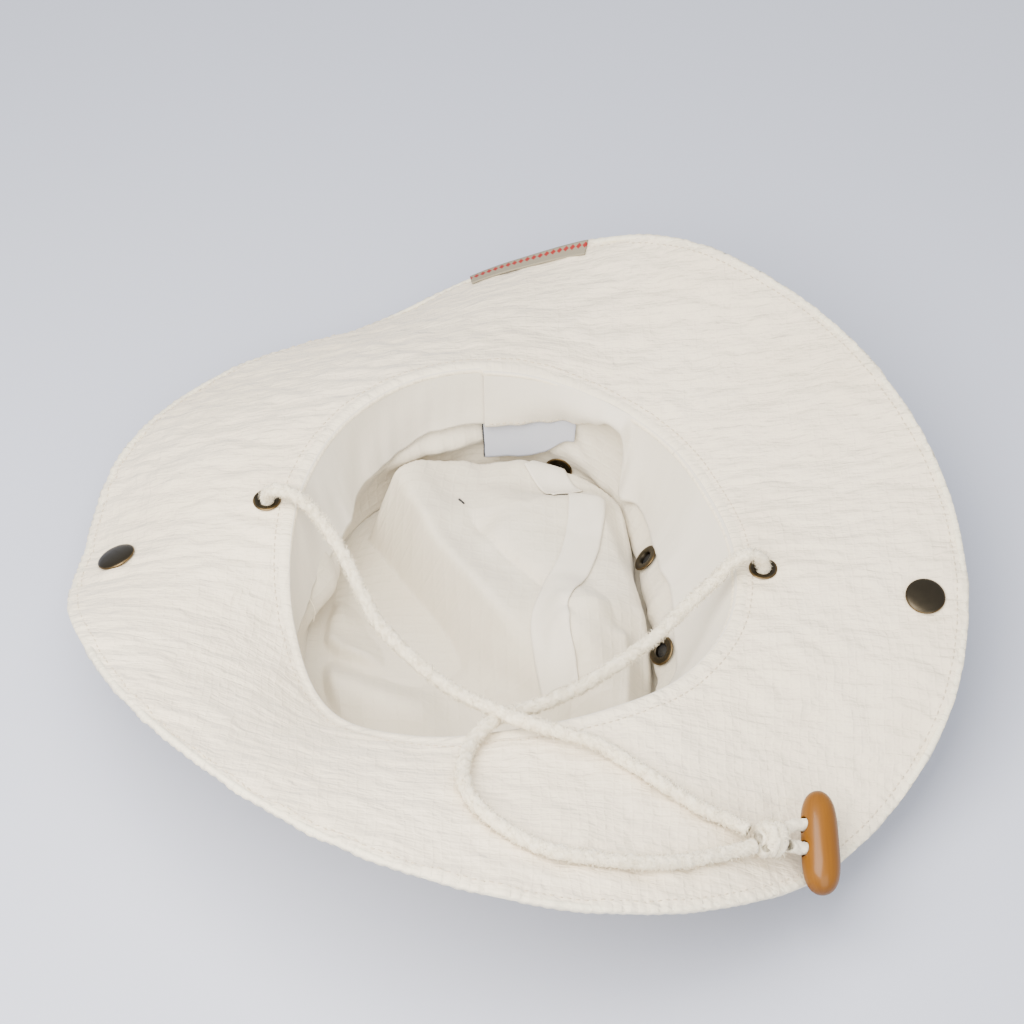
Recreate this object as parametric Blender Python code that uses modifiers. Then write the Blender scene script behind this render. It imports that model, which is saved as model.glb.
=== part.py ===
# Sun hat of soft cotton, lying upside down on its slumped crown, with the brim's underside up.
# The opening faces +Z, the hat's front is at -Y, and the crown rests on z = 0.
# Metres. Azimuths are in degrees, from +X towards +Y.

import math

import bmesh
import bpy
from mathutils import Matrix, Vector

MM = 0.001

# Driving dimensions of the cloth
OPENING_RADIUS = 90.0 * MM      # mean radius of the seam where brim and crown meet
BRIM_WIDTH = 84.0 * MM
BRIM_WALL = 2.0 * MM
CROWN_WALL = 1.5 * MM
BAND_WIDTH = 35.0 * MM          # height of the sweatband
SLUMP_HEIGHT = 23.0 * MM        # what the slumped crown leaves below a sweatband that hangs plumb
SEAM_HEIGHT = BAND_WIDTH + SLUMP_HEIGHT     # mean height of that seam above the floor
BAND_WALL = 1.2 * MM
BAND_GAP = 0.9 * MM             # between the sweatband and the crown's wall at the seam
BAND_BELLY = 1.2 * MM           # how far its middle stands out behind its edges
BAND_LEAN_LIMIT = 0.9           # of its height, how far its lower edge can lean in
BAND_STEP_TURN = 0.125          # of its length, over which its start lies on its end
LABEL_WALL = 0.6 * MM
TAPE_WIDTH = 14.0 * MM
TAPE_WALL = 0.6 * MM
CREASE_DEPTH = 2.0 * MM         # of the slumped crown's creases
WAIST_HEIGHT = 0.45             # share of the sweatband's lower edge's height
TOP_CLEARANCE = 3.0 * MM        # from the folds of the crown's top to its wall, in plan
TOP_FALL = 12.0 * MM            # over which those folds fall to the floor
FOLD_END_SPREAD = 1.5           # how far a fold's ends run out, for each unit of its spread
FOLD_END_LIMIT = 0.2            # of the opening's radius, the most spread that its ends use
FLAT_SHARE = 0.93               # of the foot's radius, outside which the top has no folds
FLAT_RING = 0.90                # of the top's radius, outside which it rests on the floor all round
GAP = 0.3 * MM                  # between neighbouring pieces
METAL_GAP = 0.8 * MM            # between a flat metal flange and the curved brim under it
VENT_GAP = 1.7 * MM             # between a flat metal flange and the more curved crown wall
CLOTH_GAP = 1.4 * MM            # between a tape and the folds that it lies on

# Driving dimensions of the labels
SIZE_LABEL_WIDTH = 38.0 * MM
SIZE_LABEL_HEIGHT = 21.0 * MM
SIZE_LABEL_TUCK = 5.0 * MM      # hidden behind the sweatband
SIZE_LABEL_LEAN = 0.35          # inwards, for each unit that it hangs
EDGE_LABEL_LENGTH = 51.0 * MM
EDGE_LABEL_HEIGHT = 9.0 * MM
EDGE_LABEL_INSET = 1.0 * MM     # from the brim's edge

# Driving dimensions of the metal
EYELET_FLANGE_RADIUS = 5.4 * MM
EYELET_BORE_RADIUS = 3.0 * MM
EYELET_METAL = 0.6 * MM
EYELET_BEAD = 0.24 * MM         # how far the rolled rim stands over the flange
SNAP_RADIUS = 7.5 * MM
SNAP_CROWN = 2.0 * MM           # height of the cap
SNAP_RIM = 0.7 * MM             # height of the cap's side under its dome
SNAP_RING_TURN = 24.0           # between the dome's rings, in degrees
SNAP_POST_RADIUS = 2.0 * MM
SNAP_SOCKET_RADIUS = 5.5 * MM
SNAP_SOCKET_HEIGHT = 2.4 * MM
SNAP_SOCKET_TAPER = 0.85        # of the socket's radius, at its lower end
VENT_FLANGE_RADIUS = 5.6 * MM
VENT_BORE_RADIUS = 2.8 * MM
CUTTER_DEPTH = 12.0 * MM        # of the holes' cutters, well past the cloth on both sides

# Driving dimensions of the chin cord and its toggle
CORD_DIAMETER = 5.0 * MM
CORD_STEP = 13.0 * MM           # between the tube's rings
KNOT_RADIUS = 6.5 * MM
KNOT_SHOULDER = 1.3 * MM
TOGGLE_LENGTH = 37.0 * MM
TOGGLE_RADIUS = 7.6 * MM
TOGGLE_FULLNESS = 4             # power of the length in the olive's outline
TOGGLE_ROUNDING = 2.2           # power of the radius in it
TOGGLE_HOLE_ENTRY = 1.2 * MM    # from the toggle's side to where a strand straightens
TOGGLE_HOLE_CLEARANCE = 0.4 * MM
TOGGLE_HOLE_PITCH = 8.5 * MM    # between the centres of its two holes
TOGGLE_HOLE_SHIFT = 1.5 * MM    # of the pair, towards the toggle's upper end
TOGGLE_DROP = 17.0              # of its front end, in degrees
TOGGLE_ROLL = -20.0             # about its own length, in degrees

# Where the hat's own middle lies from the origin, so that the origin is under the middle of its box
MIDDLE_X = -1.8 * MM
MIDDLE_Y = -1.3 * MM

# Facets
AROUND = 60
BRIM_RINGS = 7
CROWN_RINGS = 8
TOP_RINGS = 7
BAND_RINGS = 3
ROUND = 12
SLOPE_STEPS = 16                # of the sum along the brim's slope
SIZE_LABEL_COLUMNS = 8
SIZE_LABEL_RINGS = 3
EDGE_LABEL_COLUMNS = 10
EDGE_LABEL_RINGS = 2
TAPE_STEPS = 4                  # along each stretch of a tape's route
TAPE_RINGS = 3
TOGGLE_RINGS = 10
SNAP_RINGS = 3

# One row for each section of the hat. Radii are shares of OPENING_RADIUS, seam_height is a
# share of SEAM_HEIGHT, brim_reach the share of BRIM_WIDTH that small waves leave. band_radius is
# the sweatband's lower edge, waist_radius the slumped crown wall's below it, foot_radius the
# crown's edge on the floor. The slopes are the brim's, rising outwards, in degrees.
SECTION_COLUMNS = (
    "azimuth", "seam_radius", "seam_height", "brim_reach", "inner_slope", "outer_slope", "band_radius",
    "waist_radius", "foot_radius",
)
SECTION_ROWS = (
    (0.0,   0.950, 0.914, 1.000,   2.0,   3.0, 0.670, 0.60, 0.82),
    (22.5,  0.939, 0.862, 1.000,   8.0,  16.0, 0.680, 0.61, 0.84),
    (45.0,  0.978, 0.862, 1.000,  12.0,  17.0, 0.820, 0.76, 0.90),
    (67.5,  1.006, 0.931, 1.000,   4.0,  20.0, 0.950, 1.00, 0.97),
    (90.0,  1.039, 1.034, 1.000,  -8.0, -16.0, 0.985, 1.03, 1.00),
    (112.5, 1.050, 1.086, 1.000, -20.0, -37.0, 0.985, 1.03, 1.00),
    (135.0, 1.022, 1.103, 1.000, -16.0, -29.0, 0.930, 1.00, 0.98),
    (157.5, 0.983, 1.086, 1.000,  -4.0, -25.0, 0.810, 0.92, 0.94),
    (180.0, 0.967, 1.034, 0.965,   6.0, -26.0, 0.790, 0.90, 0.92),
    (202.5, 1.011, 0.862, 0.950,  32.0,   8.0, 0.900, 0.96, 0.94),
    (225.0, 1.089, 0.759, 0.990,  42.0,  32.0, 1.030, 1.04, 0.98),
    (247.5, 1.083, 0.948, 1.000,  34.0,  27.0, 1.020, 1.05, 1.00),
    (270.0, 1.022, 1.052, 1.000,  16.0,  15.0, 0.960, 1.02, 1.00),
    (292.5, 0.983, 1.026, 1.000,   0.0,  -4.0, 0.900, 0.95, 0.96),
    (315.0, 0.983, 0.940, 1.000, -10.0, -28.0, 0.830, 0.82, 0.90),
    (337.5, 0.985, 0.914, 1.000,  -4.0, -12.0, 0.740, 0.67, 0.84),
)

# One row for each fold of the crown's top, which the floor pushes up into the hollow: a crest
# from start to end in plan, as shares of OPENING_RADIUS, its height as a share of SEAM_HEIGHT,
# and how far it spreads to its left and right, seen from start to end.
FOLD_COLUMNS = ("start_x", "start_y", "end_x", "end_y", "height", "spread_left", "spread_right")
FOLD_ROWS = (
    (-0.56, 0.66, 0.16, -0.34, 0.40, 0.62, 0.15),
    (-0.05, 0.34, 0.34, -0.10, 0.10, 0.34, 0.08),
    (-0.02, 0.60, 0.50,  0.54, 0.10, 0.10, 0.22),
    (0.26, -0.20, 0.46, -0.62, 0.22, 0.16, 0.12),
    (-0.80, -0.28, -0.46, -0.42, 0.14, 0.10, 0.10),
)

# Places on the brim: azimuth, and share of the brim's width from the seam
LEFT_EYELET = (169.4, 0.106)
RIGHT_EYELET = (-5.6, 0.091)
LEFT_SNAP = (182.1, 0.783)
RIGHT_SNAP = (-8.1, 0.808)
EDGE_LABEL_AZIMUTH = 88.0

# Places on the crown's wall: azimuth, and share of the wall from the seam
VENTS = (
    ("crown_vent_front", -19.5, 0.63),
    ("crown_vent_side", 27.0, 0.62),
    ("crown_vent_back", 76.0, 0.78),
)

VENT_CLEAR_TURN = 14.0
VENT_CLEAR_SHARE = 0.22

# The sweatband starts over its own end, and its seam is at the back
BAND_START = 98.0
BAND_TURN = 369.0
SIZE_LABEL_AZIMUTH = 86.0

# The seam tape's route over the crown's top, in plan, as shares of OPENING_RADIUS
TAPE_ROUTES = {
    "seam_tape_back": ((0.18, 0.80), (0.22, 0.72), (0.28, 0.62)),
    "seam_tape_middle": ((0.33, 0.52), (0.30, 0.36), (0.25, 0.16), (0.12, -0.10)),
}

# The chin cord's route from the hat's middle, in plan as shares of OPENING_RADIUS and in height as
# shares of SEAM_HEIGHT, chosen along the real one: from the knot over the front brim and the
# opening to the left eyelet, through it, round the back of the crown, up through the right eyelet,
# under the first strand and back over the front brim
CORD_ROUTE = (
    (0.8833, -1.4200, 0.9690),
    (0.8056, -1.3722, 0.9690),
    (0.7033, -1.3378, 1.0155),
    (0.5156, -1.2267, 1.0931),
    (0.3267, -1.1033, 1.1379),
    (0.1811, -1.0578, 1.1655),
    (0.0256, -1.0122, 1.1931),
    (-0.1322, -0.9011, 1.1293),
    (-0.2978, -0.7256, 1.0000),
    (-0.5522, -0.3878, 0.9052),
    (-0.7156, -0.0422, 0.9569),
    (-0.8111, 0.0889, 1.0517),
    (-0.8733, 0.1333, 1.1621),
    (-0.9389, 0.1533, 1.2310),
    (-1.0022, 0.1756, 1.2276),
    (-1.0444, 0.1933, 1.1621),
    (-1.0478, 0.1967, 1.0690),
    (-1.0467, 0.2067, 0.9586),
    (-1.0289, 0.2667, 0.8724),
    (-0.9911, 0.3778, 0.8190),
    (-0.8089, 0.7289, 0.7672),
    (-0.4200, 1.0400, 0.7241),
    (0.0989, 1.1289, 0.6897),
    (0.5389, 0.9333, 0.6552),
    (0.8378, 0.5867, 0.6552),
    (0.9600, 0.2578, 0.6810),
    (1.0178, 0.0333, 0.7207),
    (1.0356, -0.0622, 0.7793),
    (1.0378, -0.1022, 0.8724),
    (1.0378, -0.1022, 0.9724),
    (1.0178, -0.1067, 1.0621),
    (0.9622, -0.1178, 1.1103),
    (0.8989, -0.1467, 1.0793),
    (0.8400, -0.1867, 1.0069),
    (0.7233, -0.2833, 0.9310),
    (0.5522, -0.4622, 0.8879),
    (0.3056, -0.6844, 0.9224),
    (0.1067, -0.8444, 1.0069),
    (-0.0389, -0.9289, 1.0759),
    (-0.0989, -1.0000, 1.1379),
    (-0.1700, -1.1178, 1.1724),
    (-0.1967, -1.2989, 1.2810),
    (-0.1567, -1.4589, 1.3638),
    (-0.0367, -1.5989, 1.3931),
    (0.1267, -1.6756, 1.3603),
    (0.3656, -1.6744, 1.2448),
    (0.5911, -1.6244, 1.1121),
    (0.7678, -1.5444, 1.0034),
    (0.8467, -1.5067, 0.9655),
    (0.9067, -1.4833, 0.9466),
)

# The knot's two ends, the toggle's middle, and where its two strands leave the knot
KNOT_ENDS = ((0.9111, -1.4478, 0.9483), (1.0244, -1.4156, 0.8759))
TOGGLE_PLACE = (1.1689, -1.3956, 0.7793)
STRAND_STARTS = {
    "chin_cord_end_upper": (1.0278, -1.3811, 0.8793),
    "chin_cord_end_lower": (1.0444, -1.4444, 0.8569),
}


def smooth(value):
    """Ease from 0 to 1."""
    value = min(max(value, 0.0), 1.0)
    return value * value * (3.0 - 2.0 * value)


def column(rows, columns, name):
    """The values of one named column."""
    index = columns.index(name)
    return [row[index] for row in rows]


SECTIONS = {name: column(SECTION_ROWS, SECTION_COLUMNS, name) for name in SECTION_COLUMNS}


def at_section(name, azimuth):
    """A section's value at any azimuth, on a smooth closed curve through the table's rows."""
    values = SECTIONS[name]
    count = len(values)
    place = (azimuth % 360.0) * count / 360.0
    index = int(place)
    t = place - index
    a, b, c, d = (values[(index + k) % count] for k in (-1, 0, 1, 2))
    return 0.5 * (
        2.0 * b + (c - a) * t + (2.0 * a - 5.0 * b + 4.0 * c - d) * t * t
        + (3.0 * b - a - 3.0 * c + d) * t ** 3
    )


def smooth_spot(route, share):
    """A point on the smooth curve through a route's points."""
    place = share * (len(route) - 1)
    index = min(int(place), len(route) - 2)
    t = place - index
    a = route[max(index - 1, 0)]
    b = route[index]
    c = route[index + 1]
    d = route[min(index + 2, len(route) - 1)]
    return 0.5 * (
        2.0 * b + (c - a) * t + (2.0 * a - 5.0 * b + 4.0 * c - d) * t * t
        + (3.0 * b - a - 3.0 * c + d) * t ** 3
    )


def polar(azimuth, radius, height):
    """A point round the hat's middle."""
    angle = math.radians(azimuth)
    return Vector((MIDDLE_X + radius * math.cos(angle), MIDDLE_Y + radius * math.sin(angle), height))


def seam(azimuth):
    """Radius and height of the seam between brim and crown."""
    radius = OPENING_RADIUS * at_section("seam_radius", azimuth)
    return radius, SEAM_HEIGHT * at_section("seam_height", azimuth)


def brim_point(azimuth, share, lift=0.0):
    """A point on the brim's middle surface, at a share of its width, raised by lift."""
    radius, height = seam(azimuth)
    inner = at_section("inner_slope", azimuth)
    outer = at_section("outer_slope", azimuth)
    step = share * BRIM_WIDTH * at_section("brim_reach", azimuth) / SLOPE_STEPS
    slope = math.radians(inner)
    for index in range(SLOPE_STEPS):
        along = share * (index + 0.5) / SLOPE_STEPS
        slope = math.radians(inner + (outer - inner) * smooth(along))
        radius += step * math.cos(slope)
        height += step * math.sin(slope)
    return polar(azimuth, radius - lift * math.sin(slope), height + lift * math.cos(slope))


def band_foot(azimuth):
    """Radius and height of the sweatband's lower edge, which hangs from the seam."""
    radius, height = seam(azimuth)
    low = OPENING_RADIUS * at_section("band_radius", azimuth)
    lean = min(abs(radius - low), BAND_LEAN_LIMIT * BAND_WIDTH)
    return low, height - math.sqrt(BAND_WIDTH ** 2 - lean ** 2)


def band_point(azimuth, share, inset):
    """A point on the sweatband's middle surface, from its top to its lower edge."""
    radius, height = seam(azimuth)
    low, bottom = band_foot(azimuth)
    top = height + BRIM_WALL * 0.25
    start = radius - (CROWN_WALL + BAND_WALL) * 0.5 - BAND_GAP
    belly = 4.0 * share * (1.0 - share) * BAND_BELLY
    return polar(azimuth, start + (low - start) * share + belly - inset, top + (bottom - top) * share)


def wall_point(azimuth, share):
    """A point on the crown wall's middle surface, from the seam to the foot."""
    radius, height = seam(azimuth)
    low, bottom = band_foot(azimuth)
    behind = CROWN_WALL * 0.5 + BAND_WALL * 1.5 + LABEL_WALL + GAP * 3.0
    foot = OPENING_RADIUS * at_section("foot_radius", azimuth)
    route = (
        (radius, height - BRIM_WALL * 0.5 - GAP - CROWN_WALL * 0.5),
        ((radius + low) * 0.5 + behind, (height + bottom) * 0.5),
        (low + behind, bottom),
        (OPENING_RADIUS * at_section("waist_radius", azimuth), bottom * WAIST_HEIGHT),
        (foot, CROWN_WALL * 1.5 + GAP),
    )
    spot = smooth_spot([Vector(point) for point in route], share)
    return polar(azimuth, spot.x + crease(azimuth, share), spot.y)


def crease(azimuth, share):
    """How far the crown wall's creases stand out at a place. They stay clear of the vents."""
    angle = math.radians(azimuth)
    drift = 2.0 * math.sin(2.0 * angle)
    wave = math.sin(3.0 * math.pi * share + drift) * math.sin(5.0 * angle + 4.0 * share)
    depth = CREASE_DEPTH * math.sin(math.pi * share) ** 2
    for _, vent_azimuth, vent_share in VENTS:
        turn = (azimuth - vent_azimuth + 180.0) % 360.0 - 180.0
        away = (turn / VENT_CLEAR_TURN) ** 2 + ((share - vent_share) / VENT_CLEAR_SHARE) ** 2
        depth *= 1.0 - math.exp(-away ** 2)
    return depth * (wave + 1.0)


def fold_height(x, y):
    """How far the folds lift the crown's top off the floor, at a place in plan from the hat's middle."""
    total = 0.0
    for row in FOLD_ROWS:
        fold = dict(zip(FOLD_COLUMNS, row))
        start = Vector((fold["start_x"], fold["start_y"])) * OPENING_RADIUS
        end = Vector((fold["end_x"], fold["end_y"])) * OPENING_RADIUS
        along = (end - start).normalized()
        offset = Vector((x, y)) - start
        reach = offset.dot(along)
        side = along.x * offset.y - along.y * offset.x
        spread = OPENING_RADIUS * (fold["spread_left"] if side > 0.0 else fold["spread_right"])
        over = max(-reach, reach - (end - start).length, 0.0)
        narrow = min(fold["spread_left"], fold["spread_right"], FOLD_END_LIMIT)
        end_spread = OPENING_RADIUS * narrow * FOLD_END_SPREAD
        total += (
            SEAM_HEIGHT * fold["height"]
            * math.exp(-(side / spread) ** 2) * math.exp(-(over / end_spread) ** 2)
        )
    return total


def top_height(x, y):
    """Height of the crown top's middle surface at a place in plan from the hat's middle."""
    azimuth = math.degrees(math.atan2(y, x))
    waist = at_section("waist_radius", azimuth)
    limit = OPENING_RADIUS * min(waist, FLAT_SHARE * at_section("foot_radius", azimuth)) - TOP_CLEARANCE
    inside = smooth((limit - math.hypot(x, y)) / TOP_FALL)
    return CROWN_WALL * 0.5 + fold_height(x, y) * inside


def top_point(azimuth, share):
    """A point on the crown top's middle surface, from its middle to its edge."""
    reach = (OPENING_RADIUS * at_section("foot_radius", azimuth) + CROWN_WALL) * share
    angle = math.radians(azimuth)
    return polar(azimuth, reach, top_height(reach * math.cos(angle), reach * math.sin(angle)))


def on_top(spot, lift):
    """A point raised by lift, square to the crown's top, from a place in plan from the hat's middle."""
    reach = 2.0 * MM
    slope_x = (top_height(spot.x + reach, spot.y) - top_height(spot.x - reach, spot.y)) / (2.0 * reach)
    slope_y = (top_height(spot.x, spot.y + reach) - top_height(spot.x, spot.y - reach)) / (2.0 * reach)
    up = Vector((-slope_x, -slope_y, 1.0)).normalized()
    return Vector((MIDDLE_X + spot.x, MIDDLE_Y + spot.y, top_height(spot.x, spot.y))) + up * lift


def normal_at(surface, azimuth, share):
    """The unit normal of a surface of azimuth and share, on its side that faces up or in."""
    turn = surface(azimuth + 0.5, share) - surface(azimuth - 0.5, share)
    out = surface(azimuth, share + 0.01) - surface(azimuth, share - 0.01)
    return out.cross(turn).normalized()


def collection(name):
    """A new collection in the scene."""
    group = bpy.data.collections.new(name)
    bpy.context.scene.collection.children.link(group)
    return group


def material(name, colour, roughness, metallic=0.0):
    """A Principled material."""
    made = bpy.data.materials.new(name)
    made.use_nodes = True
    shader = made.node_tree.nodes["Principled BSDF"]
    shader.inputs["Base Color"].default_value = (*colour, 1.0)
    shader.inputs["Roughness"].default_value = roughness
    shader.inputs["Metallic"].default_value = metallic
    return made


def add_object(name, mesh, group, finish=None):
    """A new object for a mesh or curve."""
    if finish is not None:
        mesh.materials.append(finish)
    thing = bpy.data.objects.new(name, mesh)
    group.objects.link(thing)
    return thing


def loft(name, rows, closed, group, finish, thickness, side=0.0):
    """A shell: quads between rows of points, given its wall by Solidify."""
    frame = bmesh.new()
    grid = [[frame.verts.new(point) for point in row] for row in rows]
    count = len(grid)
    for index in range(count if closed else count - 1):
        one = grid[index]
        two = grid[(index + 1) % count]
        for k in range(len(one) - 1):
            frame.faces.new((one[k], one[k + 1], two[k + 1], two[k]))
    bmesh.ops.recalc_face_normals(frame, faces=frame.faces)
    mesh = bpy.data.meshes.new(name)
    frame.to_mesh(mesh)
    frame.free()
    mesh.shade_smooth()
    thing = add_object(name, mesh, group, finish)
    wall = thing.modifiers.new("wall", "SOLIDIFY")
    wall.thickness = thickness
    wall.offset = side
    return thing


def make_brim(group, finish):
    """The brim: a loft of curved sections from the seam to the edge."""
    rows = [
        [brim_point(360.0 * i / AROUND, k / BRIM_RINGS) for k in range(BRIM_RINGS + 1)]
        for i in range(AROUND)
    ]
    return loft("brim", rows, True, group, finish, BRIM_WALL)


def make_wall(group, finish):
    """The crown's wall, slumped and creased."""
    rows = [
        [wall_point(360.0 * i / AROUND, k / CROWN_RINGS) for k in range(CROWN_RINGS + 1)]
        for i in range(AROUND)
    ]
    return loft("crown_side", rows, True, group, finish, CROWN_WALL)


def make_top(group, finish):
    """The crown's top, flat on the floor round its edge, with the folds inside."""
    shares = [FLAT_RING * ((k + 1) / TOP_RINGS) ** 0.8 for k in range(TOP_RINGS)]
    shares += [(FLAT_RING + 1.0) * 0.5, 1.0]
    rows = [[top_point(360.0 * i / AROUND, share) for share in shares] for i in range(AROUND)]
    thing = loft("crown_top", rows, True, group, finish, CROWN_WALL)
    frame = bmesh.new()
    frame.from_mesh(thing.data)
    frame.verts.ensure_lookup_table()
    ring = [frame.verts[i * len(shares)] for i in range(AROUND)]
    middle = frame.verts.new(top_point(0.0, 0.0))
    for i in range(AROUND):
        frame.faces.new((middle, ring[i], ring[(i + 1) % AROUND]))
    bmesh.ops.recalc_face_normals(frame, faces=frame.faces)
    frame.to_mesh(thing.data)
    frame.free()
    thing.data.shade_smooth()
    return thing


def make_band(group, finish):
    """The sweatband: one strip round the opening, whose start lies over its end."""
    step = BAND_WALL + GAP * 2.0
    rows = []
    for i in range(AROUND + 1):
        turn = i / AROUND
        azimuth = BAND_START - BAND_TURN * turn
        inset = step * (1.0 - smooth(turn / BAND_STEP_TURN))
        rows.append([band_point(azimuth, k / BAND_RINGS, inset) for k in range(BAND_RINGS + 1)])
    return loft("sweatband", rows, False, group, finish, BAND_WALL)


def make_size_label(group, finish):
    """The label that hangs from behind the sweatband's lower edge."""
    low, _ = band_foot(SIZE_LABEL_AZIMUTH)
    half = math.degrees(SIZE_LABEL_WIDTH * 0.5 / low)
    behind = (BAND_WALL + LABEL_WALL) * 0.5 + GAP * 2.0
    rows = []
    for i in range(SIZE_LABEL_COLUMNS + 1):
        azimuth = SIZE_LABEL_AZIMUTH + half * (2.0 * i / SIZE_LABEL_COLUMNS - 1.0)
        row = []
        for k in range(SIZE_LABEL_RINGS + 1):
            drop = SIZE_LABEL_HEIGHT * k / SIZE_LABEL_RINGS - SIZE_LABEL_TUCK
            share = 1.0 + min(drop, 0.0) / BAND_WIDTH
            below = max(drop, 0.0)
            spot = band_point(azimuth, share, SIZE_LABEL_LEAN * below - behind)
            row.append(spot - Vector((0.0, 0.0, below)))
        rows.append(row)
    return loft("inner_label", rows, False, group, finish, LABEL_WALL)


def make_edge_label(group, finish):
    """The strip sewn to the brim along its edge."""
    edge = brim_point(EDGE_LABEL_AZIMUTH, 1.0) - polar(0.0, 0.0, 0.0)
    half = math.degrees(EDGE_LABEL_LENGTH * 0.5 / math.hypot(edge.x, edge.y))
    outer = 1.0 - EDGE_LABEL_INSET / BRIM_WIDTH
    inner = outer - EDGE_LABEL_HEIGHT / BRIM_WIDTH
    lift = BRIM_WALL * 0.5 + GAP * 1.5 + LABEL_WALL * 0.5
    shares = [inner + (outer - inner) * k / EDGE_LABEL_RINGS for k in range(EDGE_LABEL_RINGS + 1)]
    rows = []
    for i in range(EDGE_LABEL_COLUMNS + 1):
        azimuth = EDGE_LABEL_AZIMUTH + half * (2.0 * i / EDGE_LABEL_COLUMNS - 1.0)
        rows.append([brim_point(azimuth, share, lift) for share in shares])
    return loft("brim_label", rows, False, group, finish, LABEL_WALL)


def make_tape(name, group, finish):
    """A tape that lies on the folds of the crown's top."""
    route = [Vector(spot) * OPENING_RADIUS for spot in TAPE_ROUTES[name]]
    steps = TAPE_STEPS * (len(route) - 1)
    lift = CROWN_WALL * 0.5 + CLOTH_GAP + TAPE_WALL * 0.5
    centres = [smooth_spot(route, index / steps) for index in range(steps + 1)]
    rows = []
    for index, centre in enumerate(centres):
        ahead = centres[min(index + 1, steps)] - centres[max(index - 1, 0)]
        across = Vector((-ahead.y, ahead.x)).normalized() * TAPE_WIDTH * 0.5
        shares = [2.0 * k / TAPE_RINGS - 1.0 for k in range(TAPE_RINGS + 1)]
        rows.append([on_top(centre + across * share, lift) for share in shares])
    return loft(name, rows, False, group, finish, TAPE_WALL)


def turned(name, profile, group, finish):
    """A round piece: a profile of radius and height, from its top down, turned about Z."""
    mesh = bpy.data.meshes.new(name)
    points = [(radius, 0.0, height) for radius, height in profile]
    edges = [(k, k + 1) for k in range(len(points) - 1)]
    mesh.from_pydata(points, edges, [])
    thing = add_object(name, mesh, group, finish)
    screw = thing.modifiers.new("turn", "SCREW")
    screw.steps = ROUND
    screw.render_steps = ROUND
    screw.use_merge_vertices = True
    screw.merge_threshold = 0.00001
    screw.use_smooth_shade = False
    return thing


def standing(surface, place):
    """The matrix of a place on a surface, with Z along the surface's normal."""
    azimuth, share = place
    turn = normal_at(surface, azimuth, share).to_track_quat("Z", "Y").to_matrix().to_4x4()
    return Matrix.Translation(surface(azimuth, share)) @ turn


def make_cutter(target, radius, depth, place, cutters):
    """A round hole through a piece: a hidden cylinder along the place's Z, and the cut it makes."""
    frame = bmesh.new()
    bmesh.ops.create_cone(
        frame, cap_ends=True, segments=ROUND, radius1=radius, radius2=radius, depth=depth,
    )
    mesh = bpy.data.meshes.new(target.name + "_cutter")
    frame.to_mesh(mesh)
    frame.free()
    cutter = add_object(target.name + "_cutter", mesh, cutters)
    cutter.hide_render = True
    cutter.display_type = "WIRE"
    cutter.matrix_world = place
    cut = target.modifiers.new("hole", "BOOLEAN")
    cut.operation = "DIFFERENCE"
    cut.solver = "EXACT"
    cut.object = cutter


def make_eyelet(name, depth, flange, bore, group, finish):
    """A rolled metal eyelet: two flanges and the barrel between them, as long as the given depth."""
    top = depth * 0.5
    barrel = bore + EYELET_METAL
    profile = (
        (bore, top + EYELET_METAL - EYELET_BEAD),
        (barrel, top + EYELET_METAL + EYELET_BEAD),
        (flange - EYELET_METAL, top + EYELET_METAL),
        (flange, top),
        (barrel, top),
        (barrel, -top),
        (flange, -top),
        (flange - EYELET_METAL, -top - EYELET_METAL),
        (barrel, -top - EYELET_METAL - EYELET_BEAD),
        (bore, -top - EYELET_METAL + EYELET_BEAD),
        (bore, top + EYELET_METAL - EYELET_BEAD),
    )
    return turned(name, profile, group, finish)


def make_snap(name, group, finish):
    """A press stud through the brim: domed cap, post, and the socket on the outer side."""
    top = BRIM_WALL * 0.5 + METAL_GAP
    profile = [(0.0, top + SNAP_CROWN)]
    for k in range(1, SNAP_RINGS + 1):
        angle = math.radians(90.0 - SNAP_RING_TURN * k)
        rise = SNAP_RIM + (SNAP_CROWN - SNAP_RIM) * math.sin(angle)
        profile.append((SNAP_RADIUS * math.cos(angle), top + rise))
    profile += [
        (SNAP_RADIUS, top + SNAP_RIM),
        (SNAP_RADIUS, top),
        (SNAP_POST_RADIUS, top),
        (SNAP_POST_RADIUS, -top),
        (SNAP_SOCKET_RADIUS, -top),
        (SNAP_SOCKET_RADIUS * SNAP_SOCKET_TAPER, -top - SNAP_SOCKET_HEIGHT),
        (0.0, -top - SNAP_SOCKET_HEIGHT),
    ]
    return turned(name, profile, group, finish)


def from_middle(point):
    """A point of the cord's lists, placed in the hat."""
    x, y, z = point
    return Vector((
        MIDDLE_X + x * OPENING_RADIUS, MIDDLE_Y + y * OPENING_RADIUS, z * SEAM_HEIGHT,
    ))


def make_tube(name, points, group, finish):
    """A tube of the cord's diameter through some points, with filled caps."""
    curve = bpy.data.curves.new(name, "CURVE")
    curve.dimensions = "3D"
    curve.bevel_depth = CORD_DIAMETER * 0.5
    curve.bevel_resolution = 2
    curve.use_fill_caps = True
    line = curve.splines.new("POLY")
    line.points.add(len(points) - 1)
    for spot, point in zip(line.points, points):
        spot.co = (*point, 1.0)
    return add_object(name, curve, group, finish)


def make_cord(group, finish):
    """The whole chin cord, from the knot through both eyelets and back to the knot."""
    route = [from_middle(point) for point in CORD_ROUTE]
    points = [route[0]]
    spans = len(route) - 1
    for index in range(spans):
        steps = max(1, round((route[index + 1] - route[index]).length / CORD_STEP))
        for k in range(1, steps + 1):
            points.append(smooth_spot(route, (index + k / steps) / spans))
    return make_tube("chin_cord", points, group, finish)


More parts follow.
